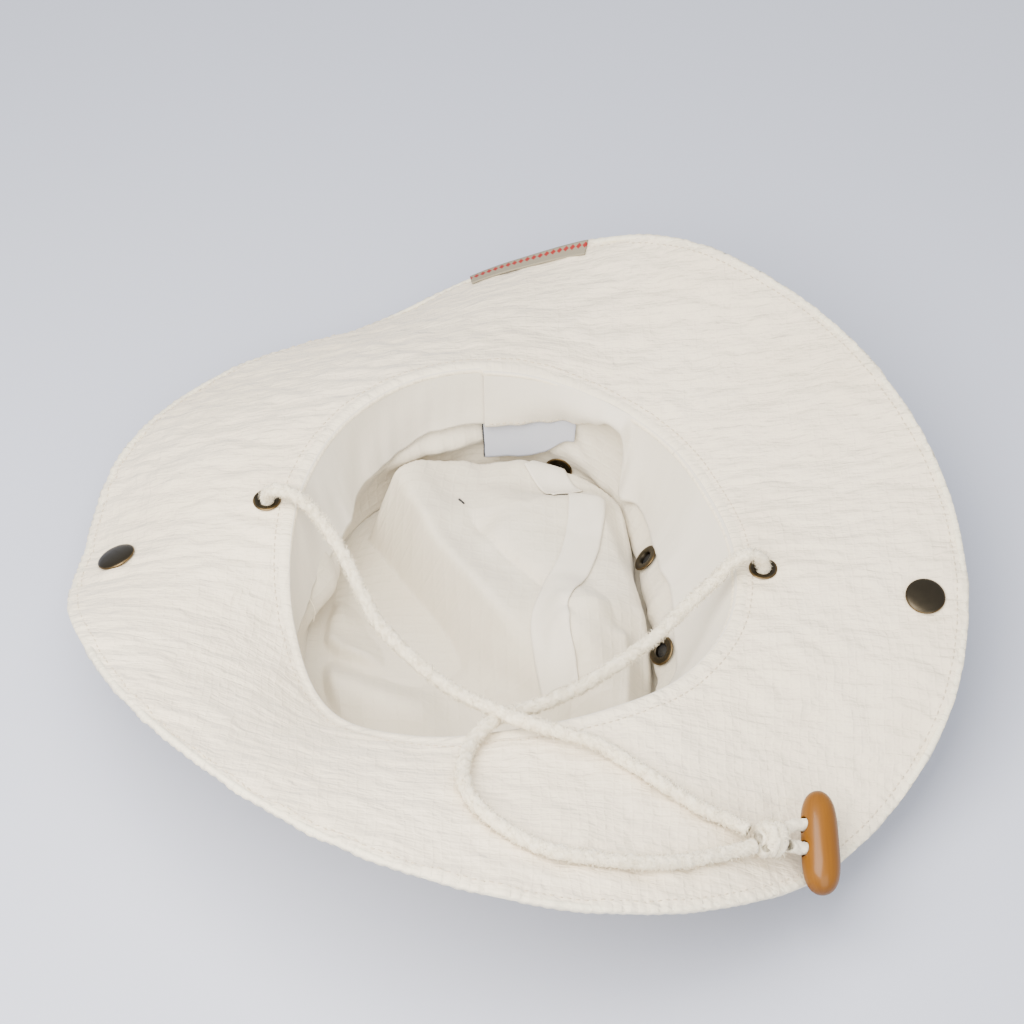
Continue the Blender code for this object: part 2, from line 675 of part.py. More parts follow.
def make_knot(group, finish):
    """The knot that both strands run into, as a short turned barrel."""
    start, end = (from_middle(point) for point in KNOT_ENDS)
    half = (end - start).length * 0.5
    profile = (
        (0.0, half),
        (KNOT_RADIUS - KNOT_SHOULDER, half),
        (KNOT_RADIUS, half - KNOT_SHOULDER),
        (KNOT_RADIUS, KNOT_SHOULDER - half),
        (KNOT_RADIUS - KNOT_SHOULDER, -half),
        (0.0, -half),
    )
    knot = turned("chin_cord_knot", profile, group, finish)
    turn = (end - start).to_track_quat("Z", "Y").to_matrix().to_4x4()
    knot.matrix_world = Matrix.Translation((start + end) * 0.5) @ turn
    return knot


def toggle_place():
    """The toggle's place and turn: its length along its own Z, its holes along its own X."""
    tip = Matrix.Rotation(math.radians(90.0 + TOGGLE_DROP), 4, "X")
    roll = Matrix.Rotation(math.radians(TOGGLE_ROLL), 4, "Z")
    return Matrix.Translation(from_middle(TOGGLE_PLACE)) @ tip @ roll


def toggle_hole(name):
    """How far along the toggle's length the hole of a strand lies."""
    side = -1.0 if name == "chin_cord_end_upper" else 1.0
    return side * TOGGLE_HOLE_PITCH * 0.5 - TOGGLE_HOLE_SHIFT


def make_toggle(group, finish, cutters):
    """The olive-shaped toggle with its two cross holes."""
    profile = []
    for k in range(TOGGLE_RINGS + 1):
        along = math.cos(math.pi * k / TOGGLE_RINGS)
        girth = (1.0 - along ** TOGGLE_FULLNESS) ** (1.0 / TOGGLE_ROUNDING)
        profile.append((TOGGLE_RADIUS * girth, TOGGLE_LENGTH * 0.5 * along))
    toggle = turned("toggle", profile, group, finish)
    toggle.matrix_world = toggle_place()
    radius = CORD_DIAMETER * 0.5 + TOGGLE_HOLE_CLEARANCE
    across = Matrix.Rotation(math.radians(90.0), 4, "Y")
    for name in STRAND_STARTS:
        hole = toggle_place() @ Matrix.Translation((0.0, 0.0, toggle_hole(name))) @ across
        make_cutter(toggle, radius, TOGGLE_RADIUS * 3.0, hole, cutters)
    return toggle


def make_strands(group, finish):
    """The cord's two ends, from the knot through the toggle's holes."""
    place = toggle_place()
    for name, start in STRAND_STARTS.items():
        along = toggle_hole(name)
        mouth = place @ Vector((-TOGGLE_RADIUS - TOGGLE_HOLE_ENTRY, 0.0, along))
        end = place @ Vector((TOGGLE_RADIUS, 0.0, along))
        make_tube(name, (from_middle(start), mouth, (mouth + end) * 0.5, end), group, finish)


def main():
    """Build the hat."""
    for thing in list(bpy.data.objects):
        bpy.data.objects.remove(thing)
    hat = collection("sun_hat")
    cutters = collection("cutters")
    cotton = material("cotton_ripstop", (0.76, 0.73, 0.68), 0.9)
    twill = material("sweatband_cotton", (0.78, 0.76, 0.71), 0.9)
    satin = material("label_satin", (0.83, 0.83, 0.84), 0.6)
    woven = material("woven_label", (0.62, 0.56, 0.47), 0.8)
    brass = material("antique_brass", (0.09, 0.075, 0.05), 0.35, 1.0)
    cord = material("twisted_cotton_cord", (0.74, 0.73, 0.66), 0.95)
    wood = material("varnished_wood", (0.5, 0.24, 0.06), 0.25)
    brim = make_brim(hat, cotton)
    wall = make_wall(hat, cotton)
    make_top(hat, cotton)
    make_band(hat, twill)
    make_size_label(hat, satin)
    make_edge_label(hat, woven)
    for name in TAPE_ROUTES:
        make_tape(name, hat, twill)
    brim_depth = BRIM_WALL + METAL_GAP * 2.0
    crown_depth = CROWN_WALL + VENT_GAP * 2.0
    for name, spot in (("brim_eyelet_left", LEFT_EYELET), ("brim_eyelet_right", RIGHT_EYELET)):
        eyelet = make_eyelet(name, brim_depth, EYELET_FLANGE_RADIUS, EYELET_BORE_RADIUS, hat, brass)
        eyelet.matrix_world = standing(brim_point, spot)
        hole = EYELET_BORE_RADIUS + EYELET_METAL + GAP
        make_cutter(brim, hole, CUTTER_DEPTH, eyelet.matrix_world, cutters)
    for name, spot in (("brim_snap_left", LEFT_SNAP), ("brim_snap_right", RIGHT_SNAP)):
        snap = make_snap(name, hat, brass)
        snap.matrix_world = standing(brim_point, spot)
        make_cutter(brim, SNAP_POST_RADIUS + GAP, CUTTER_DEPTH, snap.matrix_world, cutters)
    for name, azimuth, share in VENTS:
        vent = make_eyelet(name, crown_depth, VENT_FLANGE_RADIUS, VENT_BORE_RADIUS, hat, brass)
        vent.matrix_world = standing(wall_point, (azimuth, share))
        hole = VENT_BORE_RADIUS + EYELET_METAL + GAP
        make_cutter(wall, hole, CUTTER_DEPTH, vent.matrix_world, cutters)
    make_cord(hat, cord)
    make_knot(hat, cord)
    make_toggle(hat, wood, cutters)
    make_strands(hat, cord)


main()
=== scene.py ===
"""Looks of a soft cotton sun hat that lies upside down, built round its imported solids."""

import logging
import math
import random
from collections.abc import Callable, Sequence
from dataclasses import dataclass, field
from enum import Enum
from functools import lru_cache
from typing import TypeVar

import bmesh
import bpy
from mathutils import Matrix, Vector, noise


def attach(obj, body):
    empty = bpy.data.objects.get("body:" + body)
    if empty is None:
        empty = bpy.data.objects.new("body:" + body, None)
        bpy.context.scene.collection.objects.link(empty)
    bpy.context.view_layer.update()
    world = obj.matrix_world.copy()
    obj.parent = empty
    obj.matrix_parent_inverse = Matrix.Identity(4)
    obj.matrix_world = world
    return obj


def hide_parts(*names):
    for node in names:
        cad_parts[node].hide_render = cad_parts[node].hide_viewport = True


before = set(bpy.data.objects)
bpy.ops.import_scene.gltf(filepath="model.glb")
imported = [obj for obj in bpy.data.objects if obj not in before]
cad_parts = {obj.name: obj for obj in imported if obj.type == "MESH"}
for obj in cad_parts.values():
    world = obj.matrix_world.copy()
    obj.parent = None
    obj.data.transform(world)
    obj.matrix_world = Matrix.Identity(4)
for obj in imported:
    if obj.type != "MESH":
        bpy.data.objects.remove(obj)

LOG = logging.getLogger("sun_hat")
MM = 0.001
BODY = "root"

# A stitch's half length, half width and half height, how far its middle stands over the cloth's
# face, and the distance from one stitch to the next
STITCH_SIZE = (1.0 * MM, 0.30 * MM, 0.26 * MM)
STITCH_LIFT = 0.08 * MM
STITCH_PITCH = 2.8 * MM

Surface = Callable[[float, float], Vector]
Mixable = TypeVar("Mixable", float, Vector)


class Slot(Enum):
    """The record's material slots."""

    RIPSTOP = "cotton_ripstop"
    BAND = "sweatband_cotton"
    SATIN = "label_satin"
    WOVEN = "woven_label"
    BRASS = "antique_brass"
    CORD = "twisted_cotton_cord"
    WOOD = "varnished_wood"


@dataclass(frozen=True)
class Section:
    """One section of the hat, at an azimuth in degrees from +X towards +Y.

    Radii are shares of the opening's radius, seam_height is a share of the seam's mean height and
    brim_reach the share of the brim's width that its small waves leave. Slopes rise outwards.
    """

    azimuth: float
    seam_radius: float
    seam_height: float
    brim_reach: float
    inner_slope: float
    outer_slope: float
    band_radius: float
    waist_radius: float
    foot_radius: float


SECTIONS = (
    Section(0.0, 0.950, 0.914, 1.000, 2.0, 3.0, 0.670, 0.60, 0.82),
    Section(22.5, 0.939, 0.862, 1.000, 8.0, 16.0, 0.680, 0.61, 0.84),
    Section(45.0, 0.978, 0.862, 1.000, 12.0, 17.0, 0.820, 0.76, 0.90),
    Section(67.5, 1.006, 0.931, 1.000, 4.0, 20.0, 0.950, 1.00, 0.97),
    Section(90.0, 1.039, 1.034, 1.000, -8.0, -16.0, 0.985, 1.03, 1.00),
    Section(112.5, 1.050, 1.086, 1.000, -20.0, -37.0, 0.985, 1.03, 1.00),
    Section(135.0, 1.022, 1.103, 1.000, -16.0, -29.0, 0.930, 1.00, 0.98),
    Section(157.5, 0.983, 1.086, 1.000, -4.0, -25.0, 0.810, 0.92, 0.94),
    Section(180.0, 0.967, 1.034, 0.965, 6.0, -26.0, 0.890, 0.93, 0.92),
    Section(202.5, 1.011, 0.862, 0.950, 32.0, 8.0, 1.020, 1.02, 0.96),
    Section(225.0, 1.089, 0.759, 0.990, 42.0, 32.0, 1.030, 1.04, 0.98),
    Section(247.5, 1.083, 0.948, 1.000, 34.0, 27.0, 1.020, 1.05, 1.00),
    Section(270.0, 1.022, 1.052, 1.000, 16.0, 15.0, 0.960, 1.02, 1.00),
    Section(292.5, 0.983, 1.026, 1.000, 0.0, -4.0, 0.900, 0.95, 0.96),
    Section(315.0, 0.983, 0.940, 1.000, -10.0, -28.0, 0.830, 0.82, 0.90),
    Section(337.5, 0.985, 0.914, 1.000, -4.0, -12.0, 0.740, 0.67, 0.84),
)


@dataclass(frozen=True)
class Fold:
    """A fold of the crown's top: a crest from start to end in plan, as shares of the opening's radius.

    Its height is a share of the seam's height. It spreads to its left and right, seen from start
    to end, by shares of the opening's radius.
    """

    start_x: float
    start_y: float
    end_x: float
    end_y: float
    height: float
    spread_left: float
    spread_right: float


MAIN_FOLDS = (
    Fold(-0.56, 0.66, 0.16, -0.34, 0.40, 0.62, 0.15),
    Fold(-0.05, 0.34, 0.34, -0.10, 0.10, 0.34, 0.08),
    Fold(-0.02, 0.60, 0.50, 0.54, 0.10, 0.10, 0.22),
    Fold(0.26, -0.20, 0.46, -0.62, 0.22, 0.16, 0.12),
    Fold(-0.80, -0.28, -0.46, -0.42, 0.14, 0.10, 0.10),
)

# Forms of the top that are too small for the solids
SOFT_FOLDS = (
    Fold(0.36, 0.60, 0.52, -0.06, 0.150, 0.06, 0.30),
    Fold(-0.52, 0.72, -0.40, 0.44, 0.100, 0.16, 0.05),
    Fold(0.06, 0.86, 0.50, 0.76, 0.195, 0.07, 0.16),
    Fold(-0.42, 0.82, -0.10, 0.88, 0.080, 0.07, 0.18),
    Fold(-0.40, 0.36, -0.02, -0.10, 0.030, 0.10, 0.05),
    Fold(-0.30, -0.10, 0.00, -0.50, 0.045, 0.08, 0.10),
)


@dataclass(frozen=True)
class Crease:
    """A sharp crease of cloth along a route in plan, in millimetres from the hat's middle.

    A crest has a height over 0 and a groove one under 0. It fades over its two widths, to its
    left and right seen along the route.
    """

    route: tuple[tuple[float, float], ...]
    height: float
    left: float
    right: float

    def lift(self, x: float, y: float) -> float:
        """How high the crease stands at a place in plan.

        Args:
            x: From the hat's middle, in millimetres.
            y: From the hat's middle, in millimetres.

        Returns:
            The height in millimetres, which rises over the route's first fifth and falls over its
            last third.
        """
        spot = Vector((x, y))
        spans = len(self.route) - 1
        best, side, end = math.inf, 0.0, 0.0
        for index, (one, two) in enumerate(zip(self.route, self.route[1:])):
            start, run = Vector(one), Vector(two) - Vector(one)
            held = min(max((spot - start).dot(run) / run.length_squared, 0.0), 1.0)
            away = (spot - start - run * held).length
            if away < best:
                best = away
                side = run.x * (spot.y - start.y) - run.y * (spot.x - start.x)
                way = (index + held) / spans
                end = ease(way * 5.0) * ease((1.0 - way) * 3.0)
        return self.height * end * math.exp(-best / (self.left if side > 0.0 else self.right))


CREASES = (
    Crease(((-56, 78), (-43, 48), (-29, 24), (-18, 9), (-6, -9), (6, -28)), 6.0, 12.0, 4.0),
    Crease(((-21, 48), (-7, 27), (10, 8), (21, -11)), -4.6, 6.0, 5.0),
    Crease(((11, 8), (22, -15)), 2.4, 3.0, 4.0),
    Crease(((22, -15), (15, -22), (14, -40)), 2.6, 3.5, 2.5),
    Crease(((44, 62), (47, 40), (47, 18), (48, -4)), 2.6, 3.0, 7.0),
    Crease(((41, -14), (43, -32), (41, -58)), 6.5, 4.0, 6.0),
    Crease(((52, 0), (51, -16), (52, -34)), 3.5, 3.0, 3.0),
    Crease(((26, -26), (22, -40), (20, -56)), -3.2, 4.5, 3.5),
    Crease(((-84, 8), (-68, -8), (-46, -17)), 8.0, 12.0, 2.0),
    Crease(((-80, 30), (-70, 14), (-66, 0)), 3.0, 4.0, 4.0),
    Crease(((-8, 52), (6, 48), (20, 60)), 1.2, 3.0, 2.5),
    Crease(((-34, 8), (-24, -12), (-8, -24)), 0.9, 5.0, 3.0),
    Crease(((-52, 30), (-44, 4), (-48, -20)), 0.8, 7.0, 4.0),
    Crease(((-12, -30), (2, -36)), 1.4, 2.0, 2.0),
    Crease(((-70, 66), (-52, 36), (-39, 15), (-26, -6), (-14, -26)), -15.0, 6.0, 14.0),
    Crease(((28, 4), (36, -6), (40, -20)), -1.5, 3.0, 3.0),
)


@dataclass(frozen=True)
class Bulge:
    """A place where the crown's wall leans inwards, at an azimuth and a share of the wall's height.

    It reaches inwards by a depth in millimetres and fades over its two spreads.
    """

    azimuth: float
    share: float
    azimuth_spread: float
    share_spread: float
    depth: float

    def press(self, azimuth: float, share: float) -> float:
        """How far the wall is pressed inwards at a place.

        Args:
            azimuth: In degrees.
            share: Of the wall's height, from the seam.

        Returns:
            The depth in millimetres.
        """
        turn = (azimuth - self.azimuth + 180.0) % 360.0 - 180.0
        across = (turn / self.azimuth_spread) ** 2
        return self.depth * math.exp(-across - ((share - self.share) / self.share_spread) ** 2)


BULGES = (
    Bulge(112.0, 0.56, 15.0, 0.06, 6.0),
    Bulge(170.0, 0.64, 12.0, 0.13, 9.0),
    Bulge(66.0, 0.66, 15.0, 0.16, 5.0),
)


@dataclass(frozen=True)
class Crinkle:
    """Smooth random waves in cloth: their lengths along X and Y and their height, in millimetres."""

    length_x: float
    length_y: float
    height: float
    seed: float

    def lift(self, x: float, y: float) -> float:
        """Height of the waves at a place, in metres as the place is."""
        share = ripple(x / (self.length_x * MM), y / (self.length_y * MM), self.seed)
        return self.height * MM * share


TOP_CRINKLES = (
    Crinkle(15.0, 21.0, 1.6, 2.0),
    Crinkle(6.0, 8.0, 0.5, 3.0),
)


@dataclass(frozen=True)
class TapeRoute:
    """A seam tape: its CAD node and its route over the crown's top, in shares of the opening's radius."""

    name: str
    route: tuple[tuple[float, float], ...]


TAPES = (
    TapeRoute("seam_tape_back", ((0.11, 0.87), (0.17, 0.76), (0.24, 0.63))),
    TapeRoute(
        "seam_tape_middle",
        ((0.32, 0.60), (0.31, 0.42), (0.27, 0.20), (0.20, 0.00), (0.15, -0.17), (0.20, -0.44)),
    ),
)


@dataclass(frozen=True)
class BandReach:
    """How much of the sweatband's width hangs down at an azimuth in degrees."""

    azimuth: float
    share: float


# The band's back is pushed up into folds
BAND_REACHES = (
    BandReach(52.0, 1.00),
    BandReach(56.0, 1.00),
    BandReach(59.0, 0.34),
    BandReach(63.0, 0.26),
    BandReach(68.0, 0.42),
    BandReach(75.0, 0.60),
    BandReach(82.0, 0.72),
    BandReach(90.0, 0.80),
    BandReach(98.0, 0.84),
    BandReach(112.0, 0.86),
    BandReach(122.0, 0.96),
    BandReach(130.0, 1.00),
)


@dataclass(frozen=True)
class Fixing:
    """A metal piece: its CAD node, its azimuth in degrees and its share of the cloth's run there."""

    name: str
    azimuth: float
    share: float


EYELETS = (
    Fixing("brim_eyelet_left", 169.4, 0.106),
    Fixing("brim_eyelet_right", -5.6, 0.091),
)
STUDS = (
    Fixing("brim_snap_left", 182.1, 0.783),
    Fixing("brim_snap_right", -8.1, 0.808),
)
VENTS = (
    Fixing("crown_vent_front", -19.5, 0.63),
    Fixing("crown_vent_side", 27.0, 0.62),
    Fixing("crown_vent_back", 78.0, 0.85),
)

# The cord's route in millimetres from the hat's middle: from the knot over the front brim and the
# opening to the left eyelet, through it, round the back of the crown, up through the right eyelet,
# under the first strand and back over the front brim
CORD_ROUTE_MM = (
    (79.5, -127.8, 56.2), (72.5, -123.5, 56.2), (63.3, -120.4, 58.9), (46.4, -110.4, 63.4),
    (29.4, -99.3, 66.0), (16.3, -95.2, 67.6), (2.3, -91.1, 69.2), (-11.9, -81.1, 65.5),
    (-26.8, -65.3, 58.0), (-49.7, -34.9, 52.5), (-64.4, -3.8, 55.5), (-73.0, 8.0, 61.0),
    (-78.6, 12.0, 67.4), (-84.5, 13.8, 71.4), (-90.2, 15.8, 71.2), (-94.0, 17.4, 67.4),
    (-94.3, 17.7, 62.0), (-94.2, 18.6, 55.6), (-92.6, 24.0, 50.6), (-89.2, 34.0, 47.5),
    (-72.8, 65.6, 44.5), (-37.8, 93.6, 42.0), (8.9, 101.6, 40.0), (48.5, 84.0, 38.0),
    (75.4, 52.8, 38.0), (86.4, 23.2, 39.5), (91.6, 3.0, 41.8), (93.2, -5.6, 45.2),
    (93.4, -9.2, 50.6), (93.4, -9.2, 56.4), (91.6, -9.6, 61.6), (86.6, -10.6, 64.4),
    (80.9, -13.2, 62.6), (75.6, -16.8, 58.4), (65.1, -25.5, 54.0), (49.7, -41.6, 51.5),
    (27.5, -61.6, 53.5), (9.6, -76.0, 58.4), (-3.5, -83.6, 62.4), (-8.9, -90.0, 66.0),
    (-15.3, -100.6, 68.0), (-17.7, -116.9, 74.3), (-14.1, -131.3, 79.1), (-3.3, -143.9, 80.8),
    (11.4, -150.8, 78.9), (32.9, -150.7, 72.2), (53.2, -146.2, 64.5), (69.1, -139.0, 58.2),
    (76.2, -135.6, 56.0), (81.6, -133.5, 54.9),
)
KNOT_ENDS_MM = ((82.0, -130.3, 55.0), (92.2, -127.4, 50.8))
TOGGLE_PLACE_MM = (105.2, -125.6, 45.2)
STRAND_STARTS_MM = {
    "chin_cord_end_upper": (92.5, -124.3, 51.0),
    "chin_cord_end_lower": (94.0, -130.0, 49.7),
}


def ease(value: float) -> float:
    """Ease from 0 to 1."""
    value = min(max(value, 0.0), 1.0)
    return value * value * (3.0 - 2.0 * value)


def spline(a: Mixable, b: Mixable, c: Mixable, d: Mixable, t: float) -> Mixable:
    """A point between b and c on the smooth curve through four values or vectors.

    Args:
        a, b, c, d: Four values or vectors in a row.
        t: Share of the way from b to c.

    Returns:
        The value or vector there.
    """
    return 0.5 * (
        2.0 * b + (c - a) * t + (2.0 * a - 5.0 * b + 4.0 * c - d) * t * t
        + (3.0 * b - a - 3.0 * c + d) * t ** 3
    )


def along(route: Sequence[Vector], share: float) -> Vector:
    """A point on the smooth curve through a route's points.

    Args:
        route: The points.
        share: Share of the route, counted in points.

    Returns:
        The point there.
    """
    last = len(route) - 1
    place = share * last
    index = min(int(place), last - 1)
    return spline(
        route[max(index - 1, 0)], route[index], route[index + 1], route[min(index + 2, last)],
        place - index,
    )


def ripple(x: float, y: float, seed: float = 0.0) -> float:
    """Smooth noise from -1 to 1 at a place, one unit to a wave."""
    return noise.noise(Vector((x + 7.3 * seed, y - 3.1 * seed, seed)))


@dataclass(frozen=True)
class HatForm:
    """The lying hat's sizes and surfaces, in metres and degrees."""

    middle_x: float = -1.8 * MM
    middle_y: float = -1.3 * MM
    opening_radius: float = 90.0 * MM
    seam_height: float = 58.0 * MM
    brim_width: float = 84.0 * MM
    brim_wall: float = 2.0 * MM
    crown_wall: float = 1.5 * MM
    band_width: float = 35.0 * MM
    band_wall: float = 1.2 * MM
    band_gap: float = 0.9 * MM
    band_start: float = 98.0
    band_turn: float = 369.0
    label_wall: float = 0.6 * MM
    gap: float = 0.3 * MM
    waist_height: float = 0.45
    top_clearance: float = 1.6 * MM
    top_fall: float = 4.0 * MM
    flat_share: float = 0.93

    @lru_cache(maxsize=None)
    def section(self, name: str, azimuth: float) -> float:
        """A section's value at any azimuth.

        Args:
            name: The section's field.
            azimuth: In degrees.

        Returns:
            The value on a smooth closed curve through the sections.
        """
        count = len(SECTIONS)
        place = (azimuth % 360.0) * count / 360.0
        index = int(place)
        values = [getattr(SECTIONS[(index + k) % count], name) for k in (-1, 0, 1, 2)]
        return spline(*values, place - index)

    def place(self, azimuth: float, radius: float, height: float) -> Vector:
        """A point round the hat's middle."""
        angle = math.radians(azimuth)
        return Vector((
            self.middle_x + radius * math.cos(angle), self.middle_y + radius * math.sin(angle), height,
        ))

    def from_middle(self, point_mm: Sequence[float]) -> Vector:
        """A point that is given in millimetres from the hat's middle."""
        return Vector(point_mm) * MM + Vector((self.middle_x, self.middle_y, 0.0))

    @lru_cache(maxsize=None)
    def seam(self, azimuth: float) -> tuple[float, float]:
        """Radius and height of the seam between brim and crown."""
        return (
            self.opening_radius * self.section("seam_radius", azimuth),
            self.seam_height * self.section("seam_height", azimuth),
        )

    def brim(self, azimuth: float, share: float, lift: float = 0.0) -> Vector:
        """A point on the brim's middle surface.

        Args:
            azimuth: In degrees.
            share: Of the brim's width, from the seam.
            lift: Height over the surface, square to it.

        Returns:
            The point.
        """
        steps = 16
        radius, height = self.seam(azimuth)
        inner = self.section("inner_slope", azimuth)
        outer = self.section("outer_slope", azimuth)
        step = share * self.brim_width * self.section("brim_reach", azimuth) / steps
        slope = math.radians(inner)
        for index in range(steps):
            slope = math.radians(inner + (outer - inner) * ease(share * (index + 0.5) / steps))
            radius += step * math.cos(slope)
            height += step * math.sin(slope)
        return self.place(azimuth, radius - lift * math.sin(slope), height + lift * math.cos(slope))

    @lru_cache(maxsize=None)
    def band_foot(self, azimuth: float) -> tuple[float, float]:
        """Where the sweatband, which hangs from the seam, has its lower edge.

        Args:
            azimuth: In degrees.

        Returns:
            The edge's radius and height.
        """
        radius, height = self.seam(azimuth)
        low = self.opening_radius * self.section("band_radius", azimuth)
        lean = min(abs(radius - low), 0.9 * self.band_width)
        return low, height - math.sqrt(self.band_width ** 2 - lean ** 2)

    def band(self, azimuth: float, share: float, inset: float) -> Vector:
        """A point on the sweatband's middle surface.

        Args:
            azimuth: In degrees.
            share: Of its height, from its top.
            inset: How far the point is moved inwards.

        Returns:
            The point.
        """
        radius, height = self.seam(azimuth)
        low, bottom = self.band_foot(azimuth)
        top = height + self.brim_wall * 0.25
        start = radius - (self.crown_wall + self.band_wall) * 0.5 - self.band_gap
        belly = 4.0 * share * (1.0 - share) * self.band_wall
        return self.place(
            azimuth, start + (low - start) * share + belly - inset, top + (bottom - top) * share,
        )

    def band_step(self, turn: float) -> float:
        """How far the band's start lies inside its end, at a share of its length."""
        return (self.band_wall + self.gap * 2.0) * (1.0 - ease(turn * 8.0)) if turn >= 0.0 else 0.0

    def wall(self, azimuth: float, share: float, out: float = 0.0) -> Vector:
        """A point on the crown wall's middle surface.

        Args:
            azimuth: In degrees.
            share: Of the way from the seam to the foot.
            out: How far the point is moved outwards.

        Returns:
            The point.
        """
        radius, height = self.seam(azimuth)
        low, bottom = self.band_foot(azimuth)
        behind = self.crown_wall * 0.5 + self.band_wall * 1.5 + self.label_wall + self.gap * 3.0
        foot = self.opening_radius * self.section("foot_radius", azimuth)
        waist = self.opening_radius * self.section("waist_radius", azimuth)
        route = (
            Vector((radius, height - self.brim_wall * 0.5 - self.gap - self.crown_wall * 0.5)),
            Vector(((radius + low) * 0.5 + behind, (height + bottom) * 0.5)),
            Vector((low + behind, bottom)),
            Vector((waist, bottom * self.waist_height)),
            Vector((foot, self.crown_wall * 1.5 + self.gap)),
        )
        spot = along(route, share)
        return self.place(azimuth, spot.x + out, spot.y)

    def wall_cloth(self, azimuth: float, share: float) -> Vector:
        """A point on the crown's wall with its slack folds, its finer ones and its bulges.

        Args:
            azimuth: In degrees.
            share: Of the way from the seam to the foot.

        Returns:
            The point.
        """
        x, y = math.cos(math.radians(azimuth)), math.sin(math.radians(azimuth))
        slack = 2.6 * ripple(5.0 * x, 5.0 * y + 4.0 * share, 7.0)
        fine = 0.9 * ripple(14.0 * x, 14.0 * y + 9.0 * share, 8.0)
        press = sum(bulge.press(azimuth, share) for bulge in BULGES)
        return self.wall(azimuth, share, ((slack + fine) * math.sin(math.pi * share) - press) * MM)

    def fold_height(self, x: float, y: float, folds: Sequence[Fold]) -> float:
        """How far folds lift the crown's top at a place in plan.

        Args:
            x: From the hat's middle.
            y: From the hat's middle.
            folds: The folds to add up.

        Returns:
            The height.
        """
        total = 0.0
        for fold in folds:
            start = Vector((fold.start_x, fold.start_y)) * self.opening_radius
            end = Vector((fold.end_x, fold.end_y)) * self.opening_radius
            crest = (end - start).normalized()
            offset = Vector((x, y)) - start
            reach = offset.dot(crest)
            side = crest.x * offset.y - crest.y * offset.x
            spread = self.opening_radius * (fold.spread_left if side > 0.0 else fold.spread_right)
            over = max(-reach, reach - (end - start).length, 0.0)
            run_out = self.opening_radius * 1.5 * min(fold.spread_left, fold.spread_right, 0.2)
            total += (
                self.seam_height * fold.height
                * math.exp(-(side / spread) ** 2) * math.exp(-(over / run_out) ** 2)
            )
        return total

    def top(self, x: float, y: float) -> float:
        """How high the crown top's middle surface lies, which is flat along its edge.

        Args:
            x: From the hat's middle.
            y: From the hat's middle.

        Returns:
            The height.
        """
        azimuth = math.degrees(math.atan2(y, x))
        waist = self.section("waist_radius", azimuth)
        edge = min(waist, self.flat_share * self.section("foot_radius", azimuth))
        limit = self.opening_radius * edge - self.top_clearance
        inside = ease((limit - math.hypot(x, y)) / self.top_fall)
        lift = self.fold_height(x, y, MAIN_FOLDS) + self.fold_height(x, y, SOFT_FOLDS)
        lift += sum(crease.lift(x / MM, y / MM) for crease in CREASES) * MM
        lift += sum(crinkle.lift(x, y) for crinkle in TOP_CRINKLES)
        return self.crown_wall * 0.5 + max(lift * inside, 0.0)

    def on_top(self, x: float, y: float, lift: float) -> Vector:
        """A point raised from the crown's top, square to it.

        Args:
            x: From the hat's middle.
            y: From the hat's middle.
            lift: Distance from the surface.

        Returns:
            The point.
        """
        reach = 2.0 * MM
        slope_x = (self.top(x + reach, y) - self.top(x - reach, y)) / (2.0 * reach)
        slope_y = (self.top(x, y + reach) - self.top(x, y - reach)) / (2.0 * reach)
        up = Vector((-slope_x, -slope_y, 1.0)).normalized()
        return Vector((self.middle_x + x, self.middle_y + y, self.top(x, y))) + up * lift


FORM = HatForm()


def standing(surface: Surface, azimuth: float, share: float) -> Matrix:
    """The matrix of a place on a surface, with Z along the surface's normal.

    Args:
        surface: A surface of azimuth and share.
        azimuth: In degrees.
        share: Of the surface's run.

    Returns:
        The matrix.
    """
    turn = surface(azimuth + 0.5, share) - surface(azimuth - 0.5, share)
    out = surface(azimuth, share + 0.01) - surface(azimuth, share - 0.01)
    normal = out.cross(turn).normalized()
    rotation = normal.to_track_quat("Z", "Y").to_matrix().to_4x4()
    return Matrix.Translation(surface(azimuth, share)) @ rotation


def linear(code: str) -> tuple[float, float, float, float]:
    """Turn an sRGB hex value into a linear colour.

    Args:
        code: Six hex digits after a hash.

    Returns:
        Red, green, blue and an alpha of 1.
    """
    parts = [int(code[k:k + 2], 16) / 255.0 for k in (1, 3, 5)]
    bent = [p / 12.92 if p <= 0.04045 else ((p + 0.055) / 1.055) ** 2.4 for p in parts]
    return (bent[0], bent[1], bent[2], 1.0)


def add_node(
    tree: bpy.types.NodeTree,
    kind: str,
    settings: dict[str | int, object] | None = None,
    links: dict[str | int, bpy.types.NodeSocket] | None = None,
) -> bpy.types.Node:
    """Add a node to a material.

    Args:
        tree: The material's node tree.
        kind: The node's type name.
        settings: Values for its properties, or for its inputs by name or number.
        links: Sockets that feed its inputs, by name or number.

    Returns:
        The node.
    """
    made = tree.nodes.new(kind)
    for key, value in (settings or {}).items():
        if isinstance(key, int) or key in made.inputs:
            made.inputs[key].default_value = value
        else:
            setattr(made, key, value)
    for key, source in (links or {}).items():
        tree.links.new(source, made.inputs[key])
    return made


@dataclass(frozen=True)
class Finish:
    """A finish: what every material shares."""

    name: str
    colour: str
    roughness: float

    def material(self) -> bpy.types.Material:
        """Make the finish's material once, under a name that no slot of the record has.

        Returns:
            The material.
        """
        found = bpy.data.materials.get(self.name)
        if found is not None:
            return found
        made = bpy.data.materials.new(self.name)
        made.use_nodes = True
        tree = made.node_tree
        shader = tree.nodes["Principled BSDF"]
        shader.inputs["Base Color"].default_value = linear(self.colour)
        shader.inputs["Roughness"].default_value = self.roughness
        self.dress(tree, shader)
        return made

    def dress(self, tree: bpy.types.NodeTree, shader: bpy.types.Node) -> None:
        """Add the finish's own pattern to a plain material.

        Args:
            tree: The material's node tree.
            shader: Its shader.
        """


